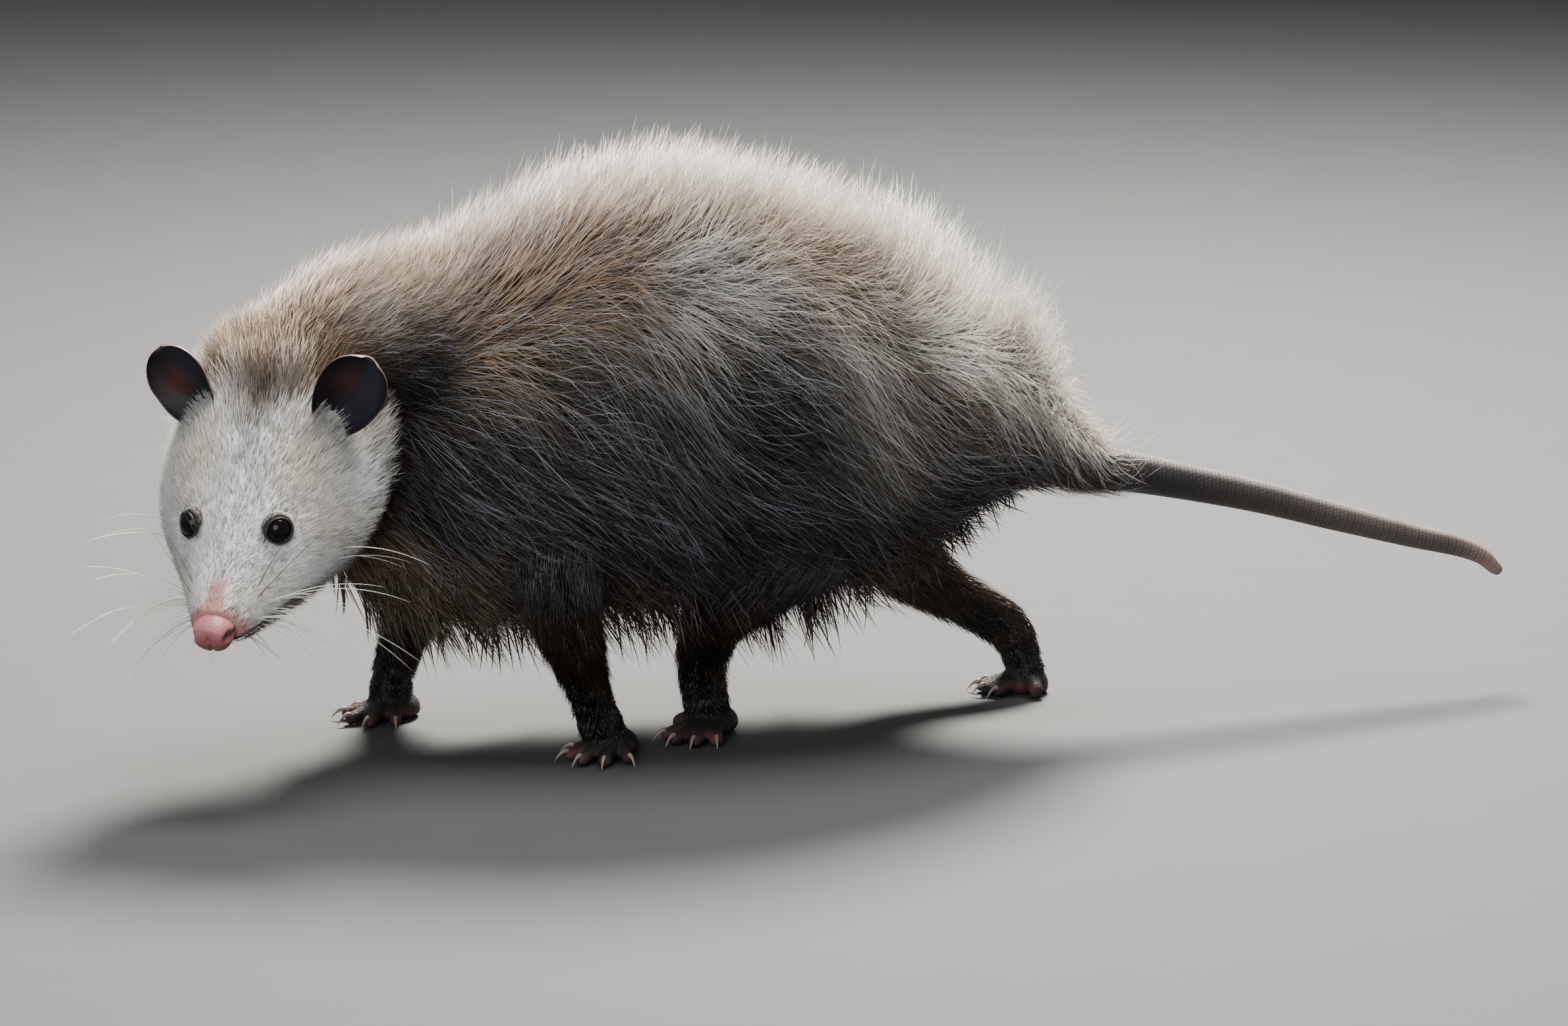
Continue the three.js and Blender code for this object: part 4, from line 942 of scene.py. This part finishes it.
def faceTufts():
    values = {"short": 25000, "ruff": 6400, "span": (-12, 117), "ruffSpan": (-13, 30),
              "earFoot": (27, 29, 22)}

    def nearest(q, at):
        return np.minimum(*(np.linalg.norm(q - np.array(at) * (1, side, 1), axis=1) for side in (1, -1)))

    def keep(p):
        q = toHead(p)
        bare = bareBridge(q, np.where(q[:, 2] > -9, 1.0, -1.0))
        clear = (depthInNeck(p) > 0.93) & (nearest(q, eye["at"]) > 6.0)
        return clear & (rng.uniform(0, 1, len(p)) > bare * 0.95)

    def keepRuff(p):
        return keep(p) & (nearest(toHead(p), values["earFoot"]) > 17)

    hair = Hair(skullForm, values["span"], values["short"], keep,
                lambda s, angle: 0.45 + 0.55 * smoothStep(10, 90, s))
    s, q = hair.s, toHead(hair.p)
    height, side = np.cos(hair.angle), np.sin(hair.angle)
    back = smoothStep(90, 10, s)
    nearEye = smoothStep(6.5, 13, nearest(q, eye["at"]))
    beside = np.where(s > eye["at"][0] - 2, nearEye, 1)
    beside = beside * (0.45 + 0.55 * smoothStep(8, 18, nearest(q, values["earFoot"])))
    beard = smoothStep(-0.45, -0.85, height)
    middle, stripe = headMarkingsAndPaintedLight(q, s, height)
    tip = paintOver(middle, ("white", 0.3 * (1 - stripe) * smoothStep(112, 104, s) * nearEye))
    # the roots a little darker than the middle: painted shade at the foot of the hair; the random tone is
    # held below full: painted shade over the face
    hair.grow(
        "faceCoat", "faceHair", 3, (middle * 0.92, middle, tip),
        tone=(hair.even(0.78, 0.98) * (1 + 0.05 * waves(hair.p, 11, 66)))[:, None], toward=-1,
        reach=(2.4 + 8.5 * back) * hair.even(0.65, 1.3) * beside,
        swing=side * (0.5 + 3 * back) + hair.normal(0, 0.6), root=-0.12,
        tip=hair.even(0.35, 0.9) * (0.35 + 0.65 * nearEye) * (1 + 1.6 * beard), rise=1.3, clump=4,
        gather=hair.even(0, 0.3), bend=hair.normal(0, 0.6), flow=0.8,
        width=(0.1 + 0.07 * back) * hair.even(0.8, 1.2), stray=hair.strays(0.25))

    # longer hair behind the cheeks and crown veils the neck
    hair = Hair(skullForm, values["ruffSpan"], values["ruff"], keepRuff)
    s, crest = hair.s, hair.crest
    middle, stripe = headMarkingsAndPaintedLight(toHead(hair.p), s, np.cos(hair.angle))
    tip = paintOver(middle, ("cream", 0.35 * (1 - stripe)), ("white", crest * 0.3 * (1 - 0.8 * stripe)))
    # the roots a little darker than the middle: painted shade at the foot of the hair
    hair.grow(
        "ruff", "faceHair", 4, (middle * 0.9, middle, tip), tone=hair.even(0.7, 1.0)[:, None], toward=-1,
        reach=hair.even(9, 21) * (0.75 + 0.25 * smoothStep(-12, 8, s)),
        swing=np.sin(hair.angle) * 3 + hair.normal(0, 2.5), root=-0.1,
        tip=hair.normal(1.0, 0.3) + 1.1 * crest * smoothStep(-10, 4, s), rise=1.1, clump=6,
        gather=hair.even(0.0, 0.45), bend=hair.normal(0, 2), flow=2, width=hair.even(0.1, 0.18),
        stray=hair.strays(1.3))


def lidForm(side):
    look = eyeLook(side)
    level = unit(np.cross(upWay, look))
    over = np.cross(look, level)

    def place(s, angle, lift):
        turn, angle = np.radians(s)[:, None], angle[:, None]
        way = np.cos(turn) * look + np.sin(turn) * (np.cos(angle) * over + np.sin(angle) * level)
        return fromHead(eyePlace(side) + way * (eye["lidRadius"] + lift * 0.9)[:, None])
    return place


def lidTufts():
    values = {"count": 1100, "span": (eye["open"] + 5, 112)}
    for word, side in (("Left", 1), ("Right", -1)):
        hair = Hair(lidForm(side), values["span"], values["count"], lambda p: depthInSkull(p) > 0.93)
        pale = smoothStep(eye["open"] + 6, eye["open"] + 30, hair.s)
        middle = paintOver(plain("charcoal", hair.count), ("cream", pale * 0.9))
        hair.grow(
            "lidHair" + word, "faceHair", 3, (middle, middle, paintOver(middle, ("white", 0.15))), tone=1,
            toward=1, reach=hair.even(12, 22), swing=hair.normal(0, 0.4), root=-0.2, tip=hair.even(0.05, 0.4),
            rise=1.2, clump=30, gather=hair.even(0, 0.2), bend=hair.normal(0, 0.3), flow=0,
            width=hair.even(0.12, 0.18), stray=hair.strays(0.12))


def limbTufts():
    values = {"count": 3900, "upperSheen": {"hindleg_right": 0.5}}
    for name, rows in limbRows.items():
        hair = Hair(limbForm(name), (8, rows[-1][0] - 2), values["count"],
                    lambda p: (depthInTrunk(p) > 0.9) & (p[:, 2] > 5))
        p, up = hair.p, smoothStep(22, 70, hair.p[:, 2])
        settings = dict(
            reach=(5 + 17 * up) * hair.even(0.7, 1.4), swing=hair.normal(0, 2), root=-0.1,
            tip=hair.even(0.5, 1.2) + 0.7 * up, rise=1.1, clump=8, gather=hair.even(0.5, 1.0),
            bend=hair.normal(0, 0.8), flow=2, width=(0.28 + 0.06 * up) * hair.even(0.7, 1.2),
            stray=hair.strays(0.7))
        upperSheen = values["upperSheen"].get(name, 0.2)
        black = plain("black", hair.count)
        # browner towards the top of each leg, most on the far hind leg: a painted brown sheen
        middle = paintOver(black, ("brown", 0.08 + 0.2 * waves(p, 20, 12) + upperSheen * up))
        tip = paintOver(middle, ("tan", hair.even(0, 0.25) * up))
        # the tops take the trunk's colours, so that the legs come out of the coat
        veiled = smoothStep(1.02, 0.86, depthInTrunk(p, 1.0))
        _, bodyMiddle, bodyTip = trunkColours(p, p[:, 0], np.full(hair.count, -0.35))
        tone = hair.even(0.5, 1.0)[:, None]
        middle = blendColours(middle, bodyMiddle, veiled) * tone
        tip = blendColours(tip, bodyTip * 0.7, veiled * 0.7) * tone
        part, side = name.split("_")
        hair.grow(part + side.capitalize() + "Coat", "wetHair", 3, (black, middle, tip), 1, 1, **settings)


trunkTufts()
neckTufts()
faceTufts()
lidTufts()
limbTufts()
print("coat ready", sum(len(piece.data.polygons) for piece in coatPieces))


# The skin takes the coat's own colours, painted shade included, from the roots nearest to each of its points.
def colourSkin():
    values = {"roots": 12000, "pawLow": 15, "pawHigh": 26}
    places = np.concatenate([place for place, _ in rootTree])
    colours = np.concatenate([colour for _, colour in rootTree])
    every = max(len(places) // values["roots"], 1)
    places, colours = places[::every], colours[::every]
    tree = KDTree(len(places))
    for k, place in enumerate(places):
        tree.insert(place, k)
    tree.balance()
    points = meshPoints(skin.data)
    result = np.array([colours[tree.find(point)[1]] for point in points])
    q = toHead(points)
    x, y, z = q.T
    onHead = (x > 40) & (x < 130) & (np.abs(y) < 52) & (z > -52) & (z < 42)
    result[onHead] = headMarkingsAndPaintedLight(q, x, np.clip((z + 8) / 25, -1, 1))[0][onHead]
    for side in (1, -1):
        away = np.linalg.norm(q - eyePlace(side), axis=1)
        result = paintOver(result, ("black", smoothStep(6.8, 6.1, away)))
    groove = spot(z, mouthHeight(x), 0.9) * smoothStep(84, 90, x) * (x < 121) * (np.abs(y) < 32)
    result = paintOver(result, ("charcoal", groove))
    height = points[:, 2]
    toe = (waves(points, 14, 21) * 0.3 + 0.3) * smoothStep(8, 4, height) * 1.2
    hand = blendColours(plain("black", len(points)) * 1.5, plain("pink", len(points)) * 0.28, toe)
    setColour(skin.data, blendColours(result, hand, smoothStep(values["pawHigh"], values["pawLow"], height)))


colourSkin()
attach(skin, "root")
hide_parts("torso", "neck", "head", "jaw", *limbRows, *paws)
print("skin coloured")


# The tail: a bare, tapered tube with rings of fine scales.
def makeTail():
    values = {"around": 84, "every": 0.5, "ring": 1.75, "scales": 24, "height": 0.16, "start": -14,
              "end": 201.5,
              "dark": (0.020, 0.016, 0.015), "brown": (0.10, 0.075, 0.062), "tip": (0.36, 0.25, 0.21),
              "top": (0.22, 0.19, 0.165)}
    places = np.arange(values["start"], values["end"], values["every"])
    rows = readRows(tailRows, places)
    first, last = np.array(tailRows[0], float), np.array(tailRows[-1], float)
    ahead = unit(readRows(tailRows, 1.0)[0, 1:4] - first[1:4])
    tipWay = unit(last[1:4] - readRows(tailRows, last[0] - 2)[0, 1:4])
    centres = (rows[:, 1:4] + np.minimum(places, 0)[:, None] * ahead
               + np.maximum(places - last[0], 0)[:, None] * tipWay)
    along = unit(np.gradient(centres, axis=0))
    across = np.tile(-leftWay, (len(places), 1))
    past = np.clip((places - (last[0] - 1)) / (values["end"] - last[0] + 1.2), 0, 1)
    radius = rows[:, 4] * np.sqrt(np.maximum(1 - past ** 2, 0.02)) - values["height"] * 0.6
    angle = turns(values["around"])
    row = places / values["ring"]
    turn = angle[None] / (2 * np.pi) * values["scales"] + 0.5 * (np.floor(row)[:, None] % 2)
    raised = (1 - (np.abs((turn % 1) - 0.5) * 2) ** 4) * (np.sin(row % 1 * np.pi) ** 0.6)[:, None]
    swell = radius[:, None] + values["height"] * raised * smoothStep(-10, 8, places)[:, None]
    points = tubePoints(centres, swell, across, np.cross(along, across), len(angle))
    paint = Paint("scalyTail")
    tone = paint.noise(70.0)
    paint.set(Base_Color=paint.markingsAndPaintedLight(tone, (0.6, 0.58, 0.56)), Roughness=tone * 0.25 + 0.42)
    paint.set(Specular_IOR_Level=0.45).bump(paint.noise(1500.0, 2.0), 0.35, 0.0002)
    piece = makeObject("tail", points, loftFaces(len(places), len(angle)), paint.material)
    s, upper = np.repeat(places, len(angle)), np.tile(np.cos(angle), len(places))
    base = paintOver(
        plain(values["dark"], len(points)),
        (values["brown"], smoothStep(30, 150, s)),
        (values["tip"], smoothStep(170, 198, s) * 0.8),
        # lighter along the top: a painted highlight
        (values["top"], smoothStep(0.5, 1.0, upper) * (0.06 + 0.26 * smoothStep(20, 120, s))))
    # darker in the grooves between the scales: painted shade
    setColour(piece.data, base * (0.45 + 0.65 * raised.reshape(-1))[:, None])
    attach(piece, "root")
    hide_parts("tail_base", "tail_middle", "tail_tip")


makeTail()


# The ears: thin cupped sheets, wrinkled at the foot, with a rolled edge.
def makeEars():
    values = {"base": (22, 29.5, 20.5), "along": (-0.25, 0.58, 0.78), "facing": (0.93, 0.12, 0.3),
              "length": 27,
              "wide": 14, "widest": 0.56, "cup": 8, "thick": 1.1, "sink": 5, "steps": 44,
              "dark": (0.010, 0.008, 0.010), "ruddy": (0.070, 0.024, 0.016), "sheen": (0.025, 0.028, 0.042),
              "edge": (0.20, 0.10, 0.085), "ruddyShare": {"Left": 0.6, "Right": 1.0}}
    steps, widest = values["steps"], values["widest"]
    paint = Paint("bareEar")
    tone = paint.noise(150.0, 4.0)
    paint.set(Base_Color=paint.markingsAndPaintedLight(tone, (0.5, 0.48, 0.47)), Roughness=tone * 0.3 + 0.35)
    paint.set(Specular_IOR_Level=0.2).bump(paint.noise(330.0, 4.0), 0.4, 0.0004)
    out, share = np.meshgrid(np.linspace(0, 1, steps + 1), np.linspace(-1, 1, steps + 1), indexing="ij")
    span = np.where(out > widest, 1.01 - widest, 1.2 * widest)
    half = values["wide"] * np.sqrt(np.maximum(1 - ((out - widest) / span) ** 2, 0))
    curl = values["cup"] * (share ** 2 * (1.1 - 0.75 * out) + 0.25 * out ** 2 - 0.35 * out)
    ripple = (0.35 * np.sin(share * 9 + out * 5) * np.sin(out * np.pi)
              + 0.5 * np.sin(out * 16) * (1 - out) * np.cos(share * 3))
    rim = smoothStep(0.86, 1.0, np.maximum(np.abs(share) * 0.99, out))
    width = steps + 1
    size = width * width
    faces = []
    for r in range(steps):
        for c in range(steps):
            a = r * width + c
            faces.append((a, a + 1, a + width + 1, a + width))
            faces.append((size + a, size + a + width, size + a + width + 1, size + a + 1))
    edge = list(range(steps)) + [k * width + steps for k in range(steps)]
    edge += [steps * width + k for k in range(steps, 0, -1)] + [k * width for k in range(steps, 0, -1)]
    for a, b in zip(edge, edge[1:] + edge[:1]):
        faces.append((b, a, size + a, size + b))
    # the pale colour along the rim is a painted rim of back light
    out, share, rimLightShare = out.ravel(), share.ravel(), rim.ravel() ** 8 * 0.6
    for word, side in (("Left", 1), ("Right", -1)):
        mirror = np.array([1, side, 1])
        along = unit(np.array(values["along"]) * mirror)
        front = np.array(values["facing"]) * mirror
        front = unit(front - along * (front @ along))
        stem = ((values["length"] + values["sink"]) * out - values["sink"])[:, None]
        middle = (np.array(values["base"]) * mirror + along * stem
                  + np.cross(along, front) * (half.ravel() * share)[:, None]
                  + front * (curl + ripple * 0.6 + rim * 0.5).ravel()[:, None])
        thick = front * (values["thick"] / 2 * (1 + 0.2 * rim)).ravel()[:, None]
        points = np.concatenate([middle + thick, middle - thick])
        piece = makeObject("ear" + word, fromHead(points), faces, paint.material)
        dark = plain(values["dark"], len(out))
        ruddy = spot(share, -0.25, 0.45) * spot(out, 0.5, 0.22) * values["ruddyShare"][word]
        inside = paintOver(dark, (values["ruddy"], ruddy), (values["sheen"], spot(share, 0.4, 0.4) * 0.6),
                           (values["edge"], rimLightShare))
        setColour(piece.data, np.concatenate([inside, paintOver(dark, (values["edge"], rimLightShare))]))
        soften = piece.modifiers.new("round", "SUBSURF")
        soften.levels = soften.render_levels = 1
        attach(piece, "root")
        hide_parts("ear_" + word.lower())


makeEars()


# Glossy dark eyes, each in a dark rim that follows its opening.
def makeEyes():
    values = {"corner": eye["open"] + 6, "lid": eye["open"], "rim": 5.95, "thick": 0.5, "sides": 10,
              "steps": 72}
    steps, sides = values["steps"], values["sides"]
    paint = Paint("wetEye")
    depth = paint.noise(500.0)
    paint.set(Base_Color=paint.mix(depth, (0.003, 0.002, 0.002), (0.008, 0.005, 0.004)),
              Roughness=depth * 0.05 + 0.05, Specular_IOR_Level=0.18)
    rimPaint = Paint("eyeRim")
    wrinkle = rimPaint.noise(700.0)
    rimPaint.set(Base_Color=rimPaint.mix(wrinkle, (0.006, 0.005, 0.005), (0.022, 0.016, 0.015)),
                 Roughness=wrinkle * 0.2 + 0.3).bump(wrinkle, 0.4, 0.0002)
    turn, angle = turns(steps)[:, None], turns(sides)[None, :, None]
    wide = np.radians(values["lid"] + (values["corner"] - values["lid"]) * np.abs(np.cos(turn)) ** 2.5)
    thick = values["thick"] * (1 + 0.2 * np.maximum(np.sin(turn), 0))[:, None]
    faces = []
    for r in range(steps):
        for k in range(sides):
            a, b, n = k, (k + 1) % sides, (r + 1) % steps
            faces.append((r * sides + a, r * sides + b, n * sides + b, n * sides + a))
    for word, side in (("Left", 1), ("Right", -1)):
        look = eyeLook(side)
        ball, ballFaces = ballPoints(eye["radius"], 48, 32)
        piece = makeObject("eye" + word, fromHead(ball + eyePlace(side)), ballFaces, paint.material)
        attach(piece, "root")
        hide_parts("eye_" + word.lower())
        level = unit(np.cross(upWay, look) * side)
        over = unit(np.cross(look, level) * side)
        around = np.cos(turn) * level + np.sin(turn) * over
        way = np.cos(wide) * look + np.sin(wide) * around
        outward = -np.sin(wide) * look + np.cos(wide) * around
        ring = np.cos(angle) * way[:, None] * 0.7 + np.sin(angle) * outward[:, None]
        points = (eyePlace(side) + way * values["rim"])[:, None] + thick * ring
        rim = makeObject("eyeRim" + word, fromHead(points.reshape(-1, 3)), faces, rimPaint.material)
        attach(rim, "root")


makeEyes()


# The bare nose: two rounded lobes with comma shaped nostrils at their sides and a groove between.
def makeNose():
    values = {"from": 112.5, "to": 126.3, "wide": 8.0, "up": 6.8, "down": 7.4, "z": -8.8, "around": 96,
              "rings": 60,
              "under": (0.30, 0.085, 0.085), "upper": (0.47, 0.17, 0.16), "lip": (0.16, 0.04, 0.036),
              "nostril": (0.06, 0.012, 0.012), "seam": (0.34, 0.12, 0.11)}
    low = values["z"]
    t = np.linspace(0, 1, values["rings"])
    x = values["from"] + (values["to"] - values["from"]) * np.sin(t * np.pi / 2)
    full = np.sqrt(np.maximum(1 - (np.maximum(t - 0.3, 0) / 0.7) ** 2.6, 0))
    full = full * (0.92 + 0.08 * smoothStep(0, 0.4, t))
    across, rise = np.sin(turns(values["around"])), np.cos(turns(values["around"]))
    y = np.sign(across) * np.abs(across) ** 0.85 * values["wide"] * (1 - 0.2 * np.clip(rise, 0, 1) ** 2)
    z = np.sign(rise) * np.abs(rise) ** 0.9 * np.where(rise > 0, values["up"], values["down"])
    q = np.stack([np.repeat(x, values["around"]), np.outer(full, y).ravel(),
                  np.outer(full, z).ravel() + low], 1)
    outward = unit(q - np.array([116.0, 0, low]))

    def lump(x, y, z, *size):
        return np.exp(-(((q - np.array([x, y, low + z])) / np.array(size)) ** 2).sum(1))

    swell, hollow = 0, np.zeros(len(q))
    for side in (1, -1):
        swell = swell + 1.5 * lump(123.0, 4.3 * side, 0.6, 3.6, 2.9, 3.4)
        swell = swell + 0.7 * lump(119.0, 7.5 * side, 1.6, 3.0, 2.4, 2.4)
        hollow = np.maximum(hollow, lump(123.2, 6.9 * side, 0.9, 2.5, 1.35, 1.5))
        hollow = np.maximum(hollow, 0.75 * lump(120.6, 8.2 * side, -0.2, 2.6, 1.7, 0.85))
    seam = spot(q[:, 1], 0, 0.6) * smoothStep(120, 124, q[:, 0]) * smoothStep(low + 5, low - 1, q[:, 2])
    q = q + outward * (swell - hollow * 3.2 - seam * 1.1)[:, None]
    paint = Paint("moistNose")
    mottle = paint.noise(420.0, 4.0)
    paint.set(Base_Color=paint.markingsAndPaintedLight(mottle, (0.72, 0.62, 0.62)), Roughness=mottle * 0.25 + 0.3,
              Specular_IOR_Level=0.5, Coat_Weight=0.1, Subsurface_Weight=0.12,
              Subsurface_Radius=(0.004, 0.0015, 0.001), Subsurface_Scale=0.5)
    paint.bump(paint.cells(1300.0) + mottle * 0.5, 0.45, 0.0003)
    piece = makeObject("nose", fromHead(q), loftFaces(values["rings"], values["around"]), paint.material)
    height = q[:, 2] - low
    setColour(piece.data, paintOver(
        plain(values["under"], len(q)),
        # lighter on top: a painted highlight; darker underneath: painted shade
        (values["upper"], smoothStep(-4, 5, height)),
        (values["lip"], smoothStep(-2.5, -7, height) * 0.75),
        # the nostrils near black and the middle groove darker: painted shade in the hollows
        (values["nostril"], hollow * 1.15),
        (values["seam"], seam * 0.6)))
    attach(piece, "root")
    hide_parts("nose")


makeNose()


def makeClaws():
    paint = Paint("paleClaw")
    streak = paint.noise(420.0)
    paint.set(Base_Color=paint.mix(streak, (0.14, 0.10, 0.075), (0.32, 0.25, 0.19)),
              Roughness=streak * 0.2 + 0.3)
    piece = makeObject("claws", np.array(clawPoints), clawFaces, paint.material)
    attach(piece, "root")


makeClaws()


# The whiskers: the long ones of each side as in the solids, with many finer ones among them.
longWhiskers = [  # place, angle, back, up, length, droop
    (109, 82, 0.1, 0.1, 42, 0.35), (108, 102, 0, -0.25, 40, 0.5), (103, 74, 0.35, 0.1, 54, 0.3),
    (102, 92, 0.2, 0, 60, 0.42), (96, 84, 0.45, 0, 52, 0.35), (96, 102, 0.3, -0.15, 50, 0.45),
    (66, 88, 0.1, 0.1, 38, 0.3),
]
darkWhiskers = [(104, 58, 0.9, 0.1, 44, 0.1), (101, 50, 0.9, 0.5, 26, 0.1), (86, 34, 0.5, 0.6, 22, 0.1)]
fineWhiskers = [  # how many a side, the same measures as ranges, and the thickness
    (22, (95, 111), (72, 122), (-0.05, 0.5), (-0.3, 0.2), (16, 44), (0.3, 0.6), 0.5),
    (2, (58, 72), (80, 112), (0, 0.6), (-0.1, 0.3), (24, 36), (0.2, 0.5), 0.45),
    (6, (104, 112), (125, 160), (-0.2, 0.4), (-0.6, 0), (8, 20), (0.2, 0.4), 0.6),
]


def makeWhiskers():
    values = {"rings": 12, "sides": 4, "thick": 0.21, "tip": 0.04, "glow": 0.6, "darkThick": 0.7}
    pale = Paint("paleWhisker")
    bright = pale.mix(pale.noise(60.0), (0.80, 0.77, 0.70), (0.96, 0.95, 0.92))
    pale.set(Base_Color=bright, Roughness=0.3).glow(values["glow"], bright)
    dark = Paint("darkWhisker")
    dark.set(Base_Color=dark.mix(dark.noise(60.0), (0.02, 0.016, 0.014), (0.10, 0.07, 0.05)), Roughness=0.35)
    draw = np.random.default_rng(8)
    down = np.array([-headAhead[2], -headLeft[2], -headUp[2]])
    hairs = {"pale": [], "dark": []}
    for side in (1, -1):
        hairs["pale"] += [(side, *whisker, 1.0) for whisker in longWhiskers]
        for count, *ranges, thick in fineWhiskers:
            for _ in range(count):
                hairs["pale"].append((side, *(draw.uniform(*span) for span in ranges), thick))
        hairs["dark"] += [(side, *whisker, values["darkThick"]) for whisker in darkWhiskers]
    t = np.linspace(0, 1, values["rings"])
    for kind, paint in (("pale", pale), ("dark", dark)):
        points, faces = [], []
        for side, s, degrees, back, up, length, droop, thick in hairs[kind]:
            angle = np.radians(degrees) * side
            root = toHead(skullForm(np.array([s]), np.array([angle]), np.array([0.0])))[0]
            way = unit(np.array([-back, math.sin(angle), math.cos(angle) + up]))
            line = root + np.outer(t, way) * length + np.outer(t ** 2, down) * length * droop
            along = unit(np.gradient(line, axis=0))
            across = unit(np.cross(along, down))
            over = np.cross(across, along)
            radius = (values["thick"] * (1 - t) ** 0.6 + values["tip"]) * thick
            faces.extend(loftFaces(values["rings"], values["sides"],
                                   len(points) * values["sides"] * values["rings"]))
            points.append(tubePoints(fromHead(line), radius[:, None], fromHead(across) - headPlace,
                                     fromHead(over) - headPlace, values["sides"]))
        piece = makeObject(kind + "Whiskers", np.concatenate(points), faces, paint.material)
        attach(piece, "root")


makeWhiskers()
print("details ready")

# A plain pale floor, soft studio light and the photograph's view.
stage = {"half": 9.0, "dark": (0.035, 0.036, 0.038), "pale": (0.041, 0.041, 0.042), "sky": (0.86, 0.89, 0.93),
         "skyPower": 0.3}
lamps = {  # place, target, size, power, colour
    "backLight": ((0.45, 1.15, 1.45), (0, 0, 0.12), 0.6, 270, (1.0, 0.95, 0.87)),
    "fill": ((-1.1, -1.8, 0.9), (0, 0, 0.1), 1.5, 38, (0.87, 0.93, 1.0)),
    "top": ((0.15, 0.1, 1.7), (0, 0, 0.1), 1.0, 62, (1, 1, 1)),
}
view = {"azimuth": -14, "elevation": 12, "distance": 2300, "target": (0, -34, 96), "pixels": 3.7,
        "wide": 2380,
        "sensor": 36}


def makeStage():
    half = stage["half"]
    mesh = bpy.data.meshes.new("floor")
    mesh.from_pydata([(-half, -half, 0), (half, -half, 0), (half, half, 0), (-half, half, 0)], [],
                     [(0, 1, 2, 3)])
    paint = Paint("paleFloor")
    paint.set(Base_Color=paint.mix(paint.noise(30.0, 2.0), stage["dark"], stage["pale"]), Roughness=0.85)
    mesh.materials.append(paint.material)
    floor = linkNew("floor", mesh)
    world = bpy.data.worlds.new("studio")
    world.use_nodes = True
    sky = world.node_tree.nodes["Background"]
    feed(sky.inputs["Color"], stage["sky"])
    feed(sky.inputs["Strength"], stage["skyPower"])
    bpy.context.scene.world = world


def makeLight(name, place, target, size, power, colour):
    lamp = bpy.data.lights.new(name, "AREA")
    lamp.shape = "DISK"
    lamp.size = size
    lamp.energy = power
    lamp.color = colour
    holder = linkNew(name, lamp)
    holder.location = place
    holder.rotation_euler = (Vector(target) - Vector(place)).to_track_quat("-Z", "Y").to_euler()


def makeCamera():
    turn, lift = math.radians(view["azimuth"]), math.radians(view["elevation"])
    back = Vector((math.sin(turn) * math.cos(lift), -math.cos(turn) * math.cos(lift), math.sin(lift)))
    camera = bpy.data.cameras.new("camera")
    camera.sensor_width = view["sensor"]
    camera.lens = view["pixels"] * view["distance"] / view["wide"] * view["sensor"]
    camera.clip_end = 50
    holder = linkNew("camera", camera)
    holder.location = Vector(toScene(view["target"])) + back * view["distance"] * 0.001
    holder.rotation_mode = "QUATERNION"
    holder.rotation_quaternion = (-back).to_track_quat("-Z", "Y")
    bpy.context.scene.camera = holder


makeStage()
for name, settings in lamps.items():
    makeLight(name, *settings)
makeCamera()
